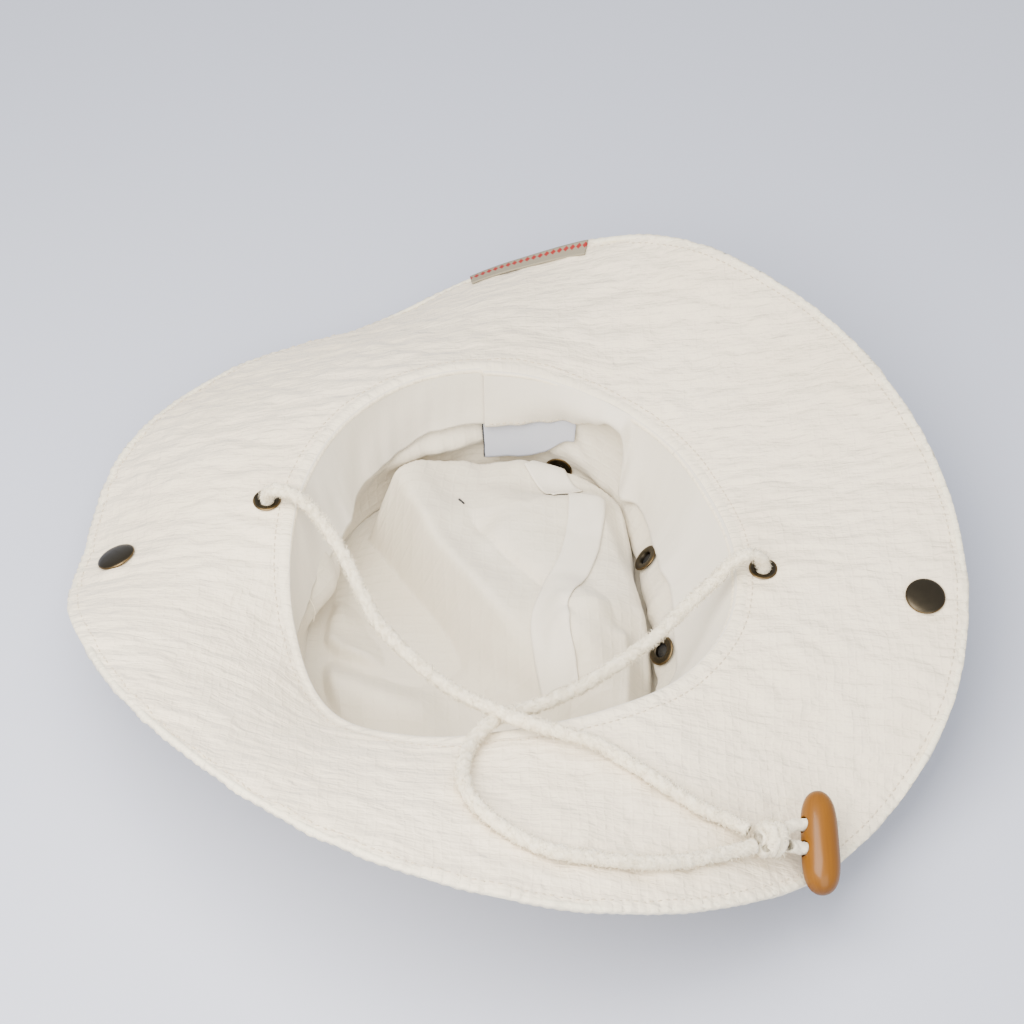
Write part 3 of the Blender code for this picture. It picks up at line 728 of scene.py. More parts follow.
# Period of Blender's band wave at a scale of 1, so a wave of a real length has a scale of this
# over that length
WAVE_PERIOD = 2.0 * math.pi / 20.0


@dataclass(frozen=True)
class WovenCotton(Finish):
    """Woven cotton cloth. Its threads, cells and washed puckers give the eye fine broken rows.

    Real threads lie 0.4 mm apart, which is too fine to show, so the weave is drawn twice as coarse.
    """

    shade: str
    pucker_mm: float
    pucker_depth_mm: float
    cell_depth_mm: float
    cell_mm: float = 2.5
    thread_mm: float = 0.8
    dimple_mm: float = 7.0
    yellow: str = "#E3DCC4"
    sheen: float = 0.25

    def dress(self, tree: bpy.types.NodeTree, shader: bpy.types.Node) -> None:
        """Add threads, cells, puckers and soft stains.

        Args:
            tree: The material's node tree.
            shader: Its shader.
        """
        shader.inputs["Sheen Weight"].default_value = self.sheen
        shader.inputs["Sheen Roughness"].default_value = 0.5
        shader.inputs["Specular IOR Level"].default_value = 0.2
        cloth = add_node(tree, "ShaderNodeUVMap", {"uv_map": "UVMap"}).outputs["UV"]
        drift = add_node(
            tree, "ShaderNodeTexNoise", {"Scale": 1.0 / (26.0 * MM), "Detail": 2.0}, {"Vector": cloth},
        )
        offset = add_node(
            tree, "ShaderNodeVectorMath",
            {"operation": "MULTIPLY_ADD", 1: (5.0 * MM,) * 3, 2: (-2.5 * MM,) * 3},
            {0: drift.outputs["Color"]},
        )
        warped = add_node(
            tree, "ShaderNodeVectorMath", {"operation": "ADD"}, {0: cloth, 1: offset.outputs[0]},
        ).outputs[0]
        stretched = add_node(
            tree, "ShaderNodeVectorMath",
            {"operation": "MULTIPLY", 1: (0.22 / (self.pucker_mm * MM), 1.0 / (self.pucker_mm * MM), 1.0)},
            {0: warped},
        )
        rows = add_node(
            tree, "ShaderNodeTexNoise", {"Scale": 1.0, "Detail": 3.0, "Roughness": 0.55},
            {"Vector": stretched.outputs[0]},
        )
        dimples = add_node(
            tree, "ShaderNodeTexNoise",
            {"Scale": 1.0 / (self.dimple_mm * MM), "Detail": 2.0, "Roughness": 0.5}, {"Vector": warped},
        )
        relief = add_node(
            tree, "ShaderNodeMath", {"operation": "MULTIPLY_ADD", 1: 1.3},
            {0: dimples.outputs["Fac"], 2: rows.outputs["Fac"]},
        )
        cells = []
        for direction in ("X", "Y"):
            wave = add_node(
                tree, "ShaderNodeTexWave",
                {"wave_type": "BANDS", "bands_direction": direction, "wave_profile": "SIN",
                 "Scale": WAVE_PERIOD / (self.cell_mm * MM), "Distortion": 0.5, "Detail": 1.0,
                 "Detail Scale": 2.0},
                {"Vector": warped},
            )
            cells.append(add_node(
                tree, "ShaderNodeMath", {"operation": "POWER", 1: 6.0}, {0: wave.outputs["Fac"]},
            ).outputs[0])
        grid = add_node(
            tree, "ShaderNodeMath", {"operation": "MAXIMUM"}, {0: cells[0], 1: cells[1]},
        )
        weave = add_node(
            tree, "ShaderNodeTexNoise", {"Scale": 1.0 / (self.thread_mm * MM), "Detail": 1.0},
            {"Vector": cloth},
        )
        coarse = add_node(
            tree, "ShaderNodeBump", {"Strength": 1.0, "Distance": self.pucker_depth_mm * MM},
            {"Height": relief.outputs[0]},
        )
        lined = add_node(
            tree, "ShaderNodeBump", {"Strength": 1.0, "Distance": self.cell_depth_mm * MM},
            {"Height": grid.outputs[0], "Normal": coarse.outputs[0]},
        )
        fine = add_node(
            tree, "ShaderNodeBump", {"Strength": 0.5, "Distance": 0.05 * MM},
            {"Height": weave.outputs["Fac"], "Normal": lined.outputs[0]},
        )
        tree.links.new(fine.outputs[0], shader.inputs["Normal"])
        stain = add_node(
            tree, "ShaderNodeTexNoise", {"Scale": 1.0 / (60.0 * MM), "Detail": 4.0}, {"Vector": cloth},
        )
        mottled = add_node(
            tree, "ShaderNodeMix", {"data_type": "RGBA", 6: linear(self.colour), 7: linear(self.shade)},
        )
        amount = add_node(
            tree, "ShaderNodeMapRange", {"From Min": 0.35, "From Max": 0.75, "To Max": 0.6},
            {"Value": stain.outputs["Fac"]},
        )
        tree.links.new(amount.outputs["Result"], mottled.inputs[0])
        worn = add_node(tree, "ShaderNodeAttribute", {"attribute_name": "wear"})
        aged = add_node(
            tree, "ShaderNodeMix", {"data_type": "RGBA", 7: linear(self.yellow)},
            {0: worn.outputs["Fac"], 6: mottled.outputs[2]},
        )
        tree.links.new(aged.outputs[2], shader.inputs["Base Color"])


@dataclass(frozen=True)
class Satin(Finish):
    """White woven satin. Its close floating threads give the eye a faint gloss, and its darker cool grey
    colour is painted shade.

    Its real ribs are too fine to show, so they are drawn 0.7 mm apart.
    """

    rib_mm: float = 0.7

    def dress(self, tree: bpy.types.NodeTree, shader: bpy.types.Node) -> None:
        """Add fine ribs across the label.

        Args:
            tree: The material's node tree.
            shader: Its shader.
        """
        shader.inputs["Sheen Weight"].default_value = 0.2
        cloth = add_node(tree, "ShaderNodeUVMap", {"uv_map": "UVMap"}).outputs["UV"]
        ribs = add_node(
            tree, "ShaderNodeTexWave", {"Scale": WAVE_PERIOD / (self.rib_mm * MM), "Distortion": 0.3},
            {"Vector": cloth},
        )
        bump = add_node(
            tree, "ShaderNodeBump", {"Strength": 0.4, "Distance": 0.04 * MM},
            {"Height": ribs.outputs["Fac"]},
        )
        tree.links.new(bump.outputs[0], shader.inputs["Normal"])


@dataclass(frozen=True)
class WovenStrip(Finish):
    """A beige woven strip with a row of small red lozenges, which give the eye a broken red line.

    Its real ribs are too fine to show, so they are drawn 0.6 mm apart.
    """

    red: str = "#8E1A16"
    motif_mm: float = 2.8
    row_mm: float = 6.0
    rib_mm: float = 0.6

    def dress(self, tree: bpy.types.NodeTree, shader: bpy.types.Node) -> None:
        """Add the lozenges along the outer half, and the ribs of the weave.

        Args:
            tree: The material's node tree.
            shader: Its shader.
        """
        cloth = add_node(tree, "ShaderNodeUVMap", {"uv_map": "UVMap"}).outputs["UV"]
        parts = add_node(tree, "ShaderNodeSeparateXYZ", {}, {0: cloth})
        run = add_node(
            tree, "ShaderNodeMath", {"operation": "PINGPONG", 1: self.motif_mm * MM * 0.5},
            {0: parts.outputs[0]},
        )
        rise = add_node(
            tree, "ShaderNodeMath", {"operation": "SUBTRACT", 1: self.row_mm * MM}, {0: parts.outputs[1]},
        )
        height = add_node(tree, "ShaderNodeMath", {"operation": "ABSOLUTE"}, {0: rise.outputs[0]})
        total = add_node(
            tree, "ShaderNodeMath", {"operation": "MULTIPLY_ADD", 1: 1.6},
            {0: run.outputs[0], 2: height.outputs[0]},
        )
        inside = add_node(
            tree, "ShaderNodeMapRange",
            {"From Min": 2.2 * MM, "From Max": 1.9 * MM, "To Min": 0.0, "To Max": 1.0},
            {"Value": total.outputs[0]},
        )
        mix = add_node(
            tree, "ShaderNodeMix", {"data_type": "RGBA", 6: linear(self.colour), 7: linear(self.red)},
            {0: inside.outputs["Result"]},
        )
        tree.links.new(mix.outputs[2], shader.inputs["Base Color"])
        ribs = add_node(
            tree, "ShaderNodeTexWave", {"Scale": WAVE_PERIOD / (self.rib_mm * MM), "Distortion": 0.5},
            {"Vector": cloth},
        )
        bump = add_node(
            tree, "ShaderNodeBump", {"Strength": 0.6, "Distance": 0.08 * MM},
            {"Height": ribs.outputs["Fac"]},
        )
        tree.links.new(bump.outputs[0], shader.inputs["Normal"])


@dataclass(frozen=True)
class AntiqueBrass(Finish):
    """Brass darkened in a bath and worn on its rims: nearly black, with dull golden edges that are also a
    painted highlight.
    """

    rubbed_and_highlit: str = "#66553A"
    cloud_mm: float = 2.5

    def dress(self, tree: bpy.types.NodeTree, shader: bpy.types.Node) -> None:
        """Add the golden edges, which are worn brass and a painted highlight, and a cloudy patina.

        Args:
            tree: The material's node tree.
            shader: Its shader.
        """
        shader.inputs["Metallic"].default_value = 1.0
        place = add_node(tree, "ShaderNodeTexCoord").outputs["Object"]
        cloud = add_node(
            tree, "ShaderNodeTexNoise", {"Scale": 1.0 / (self.cloud_mm * MM), "Detail": 5.0},
            {"Vector": place},
        )
        # Golden rims: worn brass and a painted highlight
        rim = add_node(tree, "ShaderNodeAttribute", {"attribute_name": "wear"})
        amount = add_node(
            tree, "ShaderNodeMath", {"operation": "MULTIPLY"},
            {0: rim.outputs["Fac"], 1: cloud.outputs["Fac"]},
        )
        strong = add_node(
            tree, "ShaderNodeMapRange", {"From Min": 0.1, "From Max": 0.6}, {"Value": amount.outputs[0]},
        )
        mix = add_node(
            tree, "ShaderNodeMix",
            {"data_type": "RGBA", 6: linear(self.colour), 7: linear(self.rubbed_and_highlit)},
            {0: strong.outputs["Result"]},
        )
        tree.links.new(mix.outputs[2], shader.inputs["Base Color"])
        rough = add_node(
            tree, "ShaderNodeMapRange", {"To Min": 0.25, "To Max": 0.5}, {"Value": cloud.outputs["Fac"]},
        )
        tree.links.new(rough.outputs["Result"], shader.inputs["Roughness"])


@dataclass(frozen=True)
class BrushedCotton(Finish):
    """Soft twisted cotton yarn, brushed up: matt, creamy and full of short loose fibres.

    Single fibres are too fine to show, so the relief is of tufts 0.8 mm apart.
    """

    tuft_mm: float = 0.8

    def dress(self, tree: bpy.types.NodeTree, shader: bpy.types.Node) -> None:
        """Add the fibres' fine relief and a soft sheen.

        Args:
            tree: The material's node tree.
            shader: Its shader.
        """
        shader.inputs["Sheen Weight"].default_value = 0.4
        shader.inputs["Specular IOR Level"].default_value = 0.15
        place = add_node(tree, "ShaderNodeTexCoord").outputs["Object"]
        fibres = add_node(
            tree, "ShaderNodeTexNoise",
            {"Scale": 1.0 / (self.tuft_mm * MM), "Detail": 4.0, "Roughness": 0.75}, {"Vector": place},
        )
        bump = add_node(
            tree, "ShaderNodeBump", {"Strength": 1.0, "Distance": 0.6 * MM},
            {"Height": fibres.outputs["Fac"]},
        )
        tree.links.new(bump.outputs[0], shader.inputs["Normal"])


@dataclass(frozen=True)
class VarnishedWood(Finish):
    """Turned wood under a clear varnish: honey brown with fine darker lines along its length."""

    dark: str
    grain_mm: float = 0.9
    grain_length_mm: float = 12.0

    def dress(self, tree: bpy.types.NodeTree, shader: bpy.types.Node) -> None:
        """Add the grain along the piece and the varnish.

        Args:
            tree: The material's node tree.
            shader: Its shader.
        """
        shader.inputs["Specular IOR Level"].default_value = 0.15
        shader.inputs["Coat Weight"].default_value = 0.25
        shader.inputs["Coat Roughness"].default_value = 0.18
        wood = add_node(tree, "ShaderNodeUVMap", {"uv_map": "UVMap"}).outputs["UV"]
        scaled = add_node(
            tree, "ShaderNodeVectorMath",
            {"operation": "MULTIPLY",
             1: (1.0 / (self.grain_mm * MM), 1.0 / (self.grain_length_mm * MM), 1.0)},
            {0: wood},
        )
        grain = add_node(
            tree, "ShaderNodeTexNoise", {"Scale": 1.0, "Detail": 4.0, "Roughness": 0.6},
            {"Vector": scaled.outputs[0]},
        )
        worn = add_node(tree, "ShaderNodeAttribute", {"attribute_name": "wear"})
        amount = add_node(
            tree, "ShaderNodeMath", {"operation": "MULTIPLY_ADD", 1: 0.55},
            {0: grain.outputs["Fac"], 2: worn.outputs["Fac"]},
        )
        mix = add_node(
            tree, "ShaderNodeMix", {"data_type": "RGBA", 6: linear(self.colour), 7: linear(self.dark)},
            {0: amount.outputs[0]},
        )
        tree.links.new(mix.outputs[2], shader.inputs["Base Color"])


RIPSTOP = WovenCotton(
    "washed_ripstop_cotton", "#E6DAC3", 0.9, shade="#DDCFB5", pucker_mm=3.2, pucker_depth_mm=1.3,
    cell_mm=3.2, cell_depth_mm=0.10,
)
# The crown's wall and top are the brim's ripstop, drawn darker and greyer: painted shade of the crown's
# inside
SHADED_RIPSTOP = WovenCotton(
    "crumpled_ripstop_painted_shade", "#D3CBB9", 0.9, shade="#C9BFA8", pucker_mm=5.0, pucker_depth_mm=0.35,
    cell_mm=5.0, cell_depth_mm=0.1,
)
TWILL = WovenCotton(
    "plain_cotton_band", "#D8D1C2", 0.9, shade="#D0C8B5", pucker_mm=6.0, pucker_depth_mm=0.12,
    cell_depth_mm=0.01, thread_mm=0.6,
)
# The white label is coloured a darker cool grey: painted shade of the crown's inside
SHADED_LABEL_SATIN = Satin("white_satin_painted_shade", "#A2A5AF", 0.55)
LABEL_WOVEN = WovenStrip("beige_woven_strip", "#877F6C", 0.85)
BLACK_THREAD = BrushedCotton("black_sewing_thread", "#17171A", 0.8)
BRASS = AntiqueBrass("darkened_brass", "#38332A", 0.35)
# A near-black disc in each vent's bore: painted shadow of the hole
VENT_HOLE_SHADOW = Finish("shadowed_vent_cup", "#12100C", 0.8)
YARN = BrushedCotton("brushed_cotton_yarn", "#EDE3CA", 0.95)
THREAD = BrushedCotton("sewing_thread", "#CFC0A6", 0.8)
HONEY_WOOD = VarnishedWood("varnished_honey_wood", "#744806", 0.45, dark="#452402")
BACKDROP = Finish("matt_paper_backdrop", "#B9BECD", 0.9)


def bend_grid(
    shape: bmesh.types.BMesh,
    columns: int,
    rows: int,
    surface: Surface,
    cut: Callable[[float, float], tuple[float, float]],
    wear: Callable[[float, float], float] | None = None,
) -> None:
    """Lay a flat grid over a surface, with its cloth coordinates in metres as its UV map.

    Args:
        shape: The mesh that takes the grid.
        columns: Faces along the first direction.
        rows: Faces along the second.
        surface: The surface's point at two shares.
        cut: The flat cloth's coordinates at two shares.
        wear: How worn the surface is at two shares, from 0 to 1.
    """
    uv = shape.loops.layers.uv.get("UVMap") or shape.loops.layers.uv.new("UVMap")
    worn = shape.verts.layers.float.get("wear") or shape.verts.layers.float.new("wear")
    made = bmesh.ops.create_grid(
        shape, x_segments=columns, y_segments=rows, size=0.5, calc_uvs=True,
    )
    verts = made["verts"]
    faces = {face for vert in verts for face in vert.link_faces}
    for face in faces:
        for loop in face.loops:
            loop[uv].uv = cut(loop.vert.co.x + 0.5, loop.vert.co.y + 0.5)
    for vert in verts:
        u, v = vert.co.x + 0.5, vert.co.y + 0.5
        if wear is not None:
            vert[worn] = wear(u, v)
        vert.co = surface(u, v)


def finish_piece(
    shape: bmesh.types.BMesh, name: str, finish: Finish, slot: Slot, replaces: Sequence[str] = (),
) -> bpy.types.Object:
    """Turn a finished mesh into a piece that rides on the hat.

    Args:
        shape: The mesh, which is freed.
        name: The piece's name.
        finish: Its finish.
        slot: The record's slot of the piece's finish. It is not used.
        replaces: The CAD nodes that it stands for.

    Returns:
        The piece.
    """
    mesh = bpy.data.meshes.new(name)
    shape.to_mesh(mesh)
    shape.free()
    mesh.shade_smooth()
    mesh.materials.append(finish.material())
    piece = bpy.data.objects.new(name, mesh)
    bpy.context.scene.collection.objects.link(piece)
    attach(piece, BODY)
    if replaces:
        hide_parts(*replaces)
    LOG.info("%s: %d faces", name, len(mesh.polygons))
    return piece


def give_wall(piece: bpy.types.Object, thickness: float) -> None:
    """Give an open sheet its thickness, half to each side.

    Args:
        piece: The sheet.
        thickness: In metres.
    """
    wall = piece.modifiers.new("wall", "SOLIDIFY")
    wall.thickness = thickness
    wall.offset = 0.0


def merge(shape: bmesh.types.BMesh) -> None:
    """Close the seams where a bent grid meets itself."""
    bmesh.ops.remove_doubles(shape, verts=shape.verts, dist=0.01 * MM)


def lathe(
    profile: Sequence[tuple[float, float]], steps: int, place: Matrix,
    wear: Callable[[float, float], float] | None = None,
) -> bmesh.types.BMesh:
    """Spin a profile into a round mesh.

    Args:
        profile: Radius and height of each point, from the top down the outer side.
        steps: Faces round the piece.
        place: Where the piece stands, with Z as its axis.
        wear: How worn the surface is at a radius and height, from 0 to 1; on the brass rims this also
            paints their highlight.

    Returns:
        The mesh.
    """
    shape = bmesh.new()
    worn = shape.verts.layers.float.new("wear")
    shape.loops.layers.uv.new("UVMap")
    verts = [shape.verts.new((radius, 0.0, height)) for radius, height in profile]
    for one, two in zip(verts, verts[1:]):
        shape.edges.new((one, two))
    bmesh.ops.spin(
        shape, geom=shape.verts[:] + shape.edges[:], cent=(0.0, 0.0, 0.0), axis=(0.0, 0.0, 1.0),
        angle=2.0 * math.pi, steps=steps, use_merge=True, use_duplicate=False,
    )
    bmesh.ops.remove_doubles(shape, verts=shape.verts, dist=0.001 * MM)
    bmesh.ops.recalc_face_normals(shape, faces=shape.faces)
    if wear is not None:
        for vert in shape.verts:
            vert[worn] = wear(math.hypot(vert.co.x, vert.co.y), vert.co.z)
    bmesh.ops.transform(shape, matrix=place, verts=shape.verts)
    return shape


def sew(name: str, surface: Surface, row: float, places: Sequence[float]) -> bpy.types.Object:
    """Sew a row of stitches over a surface.

    Args:
        name: The piece's name.
        surface: The surface at the stitches' height.
        row: The second share, which stays the same along the row.
        places: The first share of each stitch.

    Returns:
        The row as one piece.
    """
    shape = bmesh.new()
    shape.loops.layers.uv.new("UVMap")
    shape.verts.layers.float.new("wear")
    size = Matrix.Diagonal((*STITCH_SIZE, 1.0))
    for place in places:
        spot = surface(place, row)
        run = (surface(place + 0.0008, row) - spot).normalized()
        up = (surface(place, row + 0.02) - spot).cross(run).normalized()
        turn = Matrix((run, up.cross(run), up)).transposed().to_4x4()
        bmesh.ops.create_icosphere(
            shape, subdivisions=1, radius=1.0, matrix=Matrix.Translation(spot) @ turn @ size,
        )
    return finish_piece(shape, name, THREAD, Slot.CORD)


@dataclass
class Rope:
    """A rope of twisted plies along a route, with its loose fibres.

    Its length, its evenly spaced spots and the two directions square to it at each spot are worked
    out from the route.
    """

    route: Sequence[Vector]
    diameter: float = 5.0 * MM
    plies: int = 3
    twist_length: float = 13.0 * MM
    ring_step: float = 0.95 * MM
    sides: int = 12
    swing: float = 0.07
    fibre_half_width: float = 0.11 * MM
    fibre_reach: tuple[float, float] = (1.0 * MM, 2.6 * MM)
    length: float = field(init=False)
    spots: list[Vector] = field(init=False)
    frames: list[tuple[Vector, Vector]] = field(init=False)

    def __post_init__(self) -> None:
        """Space points evenly along the smooth route."""
        parts = (len(self.route) - 1) * 24
        fine = [along(self.route, index / parts) for index in range(parts + 1)]
        lengths = [0.0]
        for one, two in zip(fine, fine[1:]):
            lengths.append(lengths[-1] + (two - one).length)
        self.length = lengths[-1]
        count = max(4, round(self.length / self.ring_step))
        self.spots = []
        at = 0
        for k in range(count + 1):
            wanted = self.length * k / count
            while at < len(lengths) - 2 and lengths[at + 1] < wanted:
                at += 1
            part = (wanted - lengths[at]) / max(lengths[at + 1] - lengths[at], 1e-9)
            self.spots.append(fine[at].lerp(fine[at + 1], min(max(part, 0.0), 1.0)))
        self.frames = self.walk()

    def walk(self) -> list[tuple[Vector, Vector]]:
        """Carry two directions square to the route along it without a twist.

        Returns:
            Both directions at each spot.
        """
        frames = []
        side = Vector((0.0, 0.0, 1.0))
        last = len(self.spots) - 1
        for k in range(last + 1):
            ahead = (self.spots[min(k + 1, last)] - self.spots[max(k - 1, 0)]).normalized()
            side = (side - ahead * side.dot(ahead)).normalized()
            frames.append((side, ahead.cross(side)))
        return frames

    def skin(self, ply: int) -> Surface:
        """The surface of one ply.

        Args:
            ply: Its number.

        Returns:
            The surface, along the rope and round the ply.
        """
        count = len(self.spots) - 1
        swing = self.diameter * self.swing
        girth = self.diameter * (0.49 - self.swing)

        def point(u: float, v: float) -> Vector:
            """A point of the uneven ply.

            Args:
                u: Share along the rope.
                v: Share round the ply.

            Returns:
                The point.
            """
            k = min(round(u * count), count)
            side, other = self.frames[k]
            turn = 2.0 * math.pi * (self.length * u / self.twist_length + ply / self.plies)
            centre = self.spots[k] + (side * math.cos(turn) + other * math.sin(turn)) * swing
            angle = 2.0 * math.pi * v
            out = side * math.cos(angle) + other * math.sin(angle)
            spot = centre + out * girth
            soft = 0.7 * noise.noise(spot / (2.6 * MM)) + 0.5 * noise.noise(spot / (1.2 * MM))
            return spot + out * self.diameter * 0.2 * soft

        return point

    def build(
        self, name: str, replaces: Sequence[str] = (), finish: Finish = YARN,
    ) -> bpy.types.Object:
        """Make the rope's plies as one piece.

        Args:
            name: The piece's name.
            replaces: The CAD nodes that it stands for.
            finish: Its finish.

        Returns:
            The piece.
        """
        shape = bmesh.new()
        for ply in range(self.plies):
            bend_grid(
                shape, len(self.spots) - 1, self.sides, self.skin(ply),
                lambda u, v: (v * self.diameter, u * self.length),
            )
        merge(shape)
        ends = [edge for edge in shape.edges if edge.is_boundary]
        bmesh.ops.holes_fill(shape, edges=ends)
        bmesh.ops.recalc_face_normals(shape, faces=shape.faces)
        return finish_piece(shape, name, finish, Slot.CORD, replaces)

    def fluff(self, name: str, per_mm: float, seed: int) -> bpy.types.Object:
        """Make the loose fibres that stand off the rope, as short curved ribbons.

        Args:
            name: The piece's name.
            per_mm: Fibres for each millimetre of rope.
            seed: Seed of their places.

        Returns:
            The piece.
        """
        dice = random.Random(seed)
        fibres = []
        for _ in range(int(self.length / MM * per_mm)):
            k = dice.randrange(len(self.spots) - 1)
            side, other = self.frames[k]
            ahead = other.cross(side)
            angle = dice.uniform(0.0, 2.0 * math.pi)
            out = side * math.cos(angle) + other * math.sin(angle)
            sweep = ahead * dice.uniform(-1.0, 1.0) + out.cross(ahead) * dice.uniform(-1.0, 1.0)
            reach = dice.uniform(*self.fibre_reach)
            root = self.spots[k] + out * self.diameter * 0.42
            width = out.cross(sweep).normalized() * self.fibre_half_width
            fibres.append((root, sweep * reach, out * reach * 0.45, width))
        columns = 2 * len(fibres) - 1

        def ribbon(u: float, v: float) -> Vector:
            """A point of the fibres, which lie side by side in the flat grid.

            Args:
                u: Share of all the fibres' edges, two to a fibre.
                v: Share of a fibre's length.

            Returns:
                The point.
            """
            k = round(u * columns)
            root, sweep, rise, width = fibres[k // 2]
            edge = width * (2.0 * (k % 2) - 1.0) * (1.0 - 0.7 * v)
            return root + sweep * v + rise * math.sin(math.pi * 0.75 * v) + edge

        shape = bmesh.new()
        bend_grid(shape, columns, 3, ribbon, lambda u, v: (round(u * columns), v))
        uv = shape.loops.layers.uv["UVMap"]
        between = [f for f in shape.faces if min(loop[uv].uv.x for loop in f.loops) % 2.0 > 0.5]
        bmesh.ops.delete(shape, geom=between, context="FACES")
        return finish_piece(shape, name, YARN, Slot.CORD)


@dataclass
class ChinCord:
    """The twisted cord, its knot, its two ends and the fibres on it."""

    diameter: float = 5.0 * MM
    real_length: float = 0.864
    fibres_per_mm: float = 30.0
    wrap_radius: float = 3.9 * MM
    wraps: float = 2.25
    core_diameter: float = 6.75 * MM
    end_diameter: float = 4.7 * MM
    toggle_length: float = 37.0 * MM
    toggle_radius: float = 6.8 * MM
    toggle_taper: float = 0.09
    hole_radius: float = 2.9 * MM
    hole_pitch: float = 8.5 * MM
    hole_shift: float = 1.5 * MM
    toggle_drop: float = 17.0
    toggle_roll: float = -20.0

    def build(self) -> None:
        """Make the cord, its fibres, its knot, its two ends and its toggle."""
        route = [FORM.from_middle(point) for point in CORD_ROUTE_MM]
        rope = Rope(route, self.diameter)
        cord = rope.build("chin_cord_yarn", ["chin_cord"])
        fluff = rope.fluff("chin_cord_fibres", self.fibres_per_mm, 11)
        knot = self.knot()
        ends = [self.strand(name) for name in STRAND_STARTS_MM]
        toggle = self.toggle()
        tuple(route[0])
        [tuple(spot) for spot in rope.spots]

    def knot(self) -> list[bpy.types.Object]:
        """Wind the cord round itself between the knot's two ends.

        Returns:
            The knot's wraps, its core and its fibres.
        """
        start, end = (FORM.from_middle(point) for point in KNOT_ENDS_MM)
        axis = (end - start).normalized()
        side = axis.cross(Vector((0.0, 0.0, 1.0))).normalized()
        other = axis.cross(side)
        inset = self.diameter * 0.5
        run = (end - start).length - self.diameter
        points = []
        count = 26
        for k in range(count + 1):
            share = k / count
            turn = 2.0 * math.pi * self.wraps * share
            radius = self.wrap_radius * (1.0 + 0.08 * math.sin(3.0 * turn))
            centre = start + axis * (inset + run * share)
            points.append(centre + (side * math.cos(turn) + other * math.sin(turn)) * radius)
        rope = Rope(points, self.diameter)
        core = Rope([start + axis * MM, (start + end) * 0.5, end - axis * MM], self.core_diameter)
        return [
            rope.build("knot_wraps", ["chin_cord_knot"]),
            core.build("knot_core"),
            rope.fluff("knot_fibres", self.fibres_per_mm, 12),
        ]

    def toggle_place(self) -> Matrix:
        """Place the toggle, with its length along its own Z and its holes along its own X.

        Returns:
            The matrix of its place.
        """
        tip = Matrix.Rotation(math.radians(90.0 + self.toggle_drop), 4, "X")
        roll = Matrix.Rotation(math.radians(self.toggle_roll), 4, "Z")
        return Matrix.Translation(FORM.from_middle(TOGGLE_PLACE_MM)) @ tip @ roll

    def hole(self, name: str) -> float:
        """How far along the toggle the hole of a strand lies."""
        side = -1.0 if name == "chin_cord_end_upper" else 1.0
        return side * self.hole_pitch * 0.5 - self.hole_shift

    def strand(self, name: str) -> bpy.types.Object:
        """Make one end of the cord, from the knot through its hole.

        Args:
            name: The end's CAD node.

        Returns:
            The end as a piece.
        """
        place = self.toggle_place()
        height = self.hole(name)
        mouth = place @ Vector((-self.toggle_radius - 1.2 * MM, 0.0, height))
        end = place @ Vector((self.toggle_radius, 0.0, height))
        start = FORM.from_middle(STRAND_STARTS_MM[name])
        rope = Rope([start, mouth, (mouth + end) * 0.5, end], self.end_diameter)
        return rope.build(name + "_yarn", [name])

    def toggle(self) -> bpy.types.Object:
        """Turn the olive-shaped toggle and drill its two holes.

        Returns:
            The toggle as a piece.
        """
        rings = 48
        steps = 64
        length, radius = self.toggle_length, self.toggle_radius

        def skin(u: float, v: float) -> Vector:
            """A point of the olive, which is a little thinner at its back end.

            Args:
                u: Share round it.
                v: Share of the half turn from its front end to its back end.

            Returns:
                The point.
            """
            rise = math.cos(math.pi * v)
            girth = radius * (1.0 - min(rise ** 4, 1.0)) ** (1.0 / 2.1)
            girth *= 1.0 - self.toggle_taper * (0.5 - 0.5 * rise) ** 1.5
            angle = 2.0 * math.pi * u
            return Vector((girth * math.cos(angle), girth * math.sin(angle), length * 0.5 * rise))

        def wear(_: float, v: float) -> float:
            """How dark the wood is: both ends are darker."""
            return 0.25 * ease((0.25 - v) / 0.2) + 0.15 * ease((v - 0.8) / 0.2)

        shape = bmesh.new()
        bend_grid(
            shape, steps, rings, skin, lambda u, v: (u * 2.0 * math.pi * radius, v * length), wear,
        )
        merge(shape)
        bmesh.ops.recalc_face_normals(shape, faces=shape.faces)
        piece = finish_piece(shape, "toggle_wood", HONEY_WOOD, Slot.WOOD, ["toggle"])
        for name in STRAND_STARTS_MM:
            self.drill(piece, self.hole(name))
        piece.data.transform(self.toggle_place())
        return piece

    def drill(self, piece: bpy.types.Object, height: float) -> None:
        """Cut one cross hole through the toggle and keep the result in its mesh.

        Args:
            piece: The toggle.
            height: How far along it the hole lies.
        """
        shape = bmesh.new()
        bmesh.ops.create_cone(
            shape, cap_ends=True, segments=40, radius1=self.hole_radius, radius2=self.hole_radius,
            depth=self.toggle_radius * 3.0,
        )
        turn = Matrix.Translation((0.0, 0.0, height)) @ Matrix.Rotation(math.radians(90.0), 4, "Y")
        bmesh.ops.transform(shape, matrix=turn, verts=shape.verts)
        mesh = bpy.data.meshes.new("drill")
        shape.to_mesh(mesh)
        shape.free()
        cutter = bpy.data.objects.new("drill", mesh)
        bpy.context.scene.collection.objects.link(cutter)
        cut = piece.modifiers.new("hole", "BOOLEAN")
        cut.operation = "DIFFERENCE"
        cut.object = cutter
        view = bpy.context.evaluated_depsgraph_get()
        drilled = bpy.data.meshes.new_from_object(piece.evaluated_get(view))
        piece.modifiers.remove(cut)
        piece.data = drilled
        bpy.data.objects.remove(cutter)


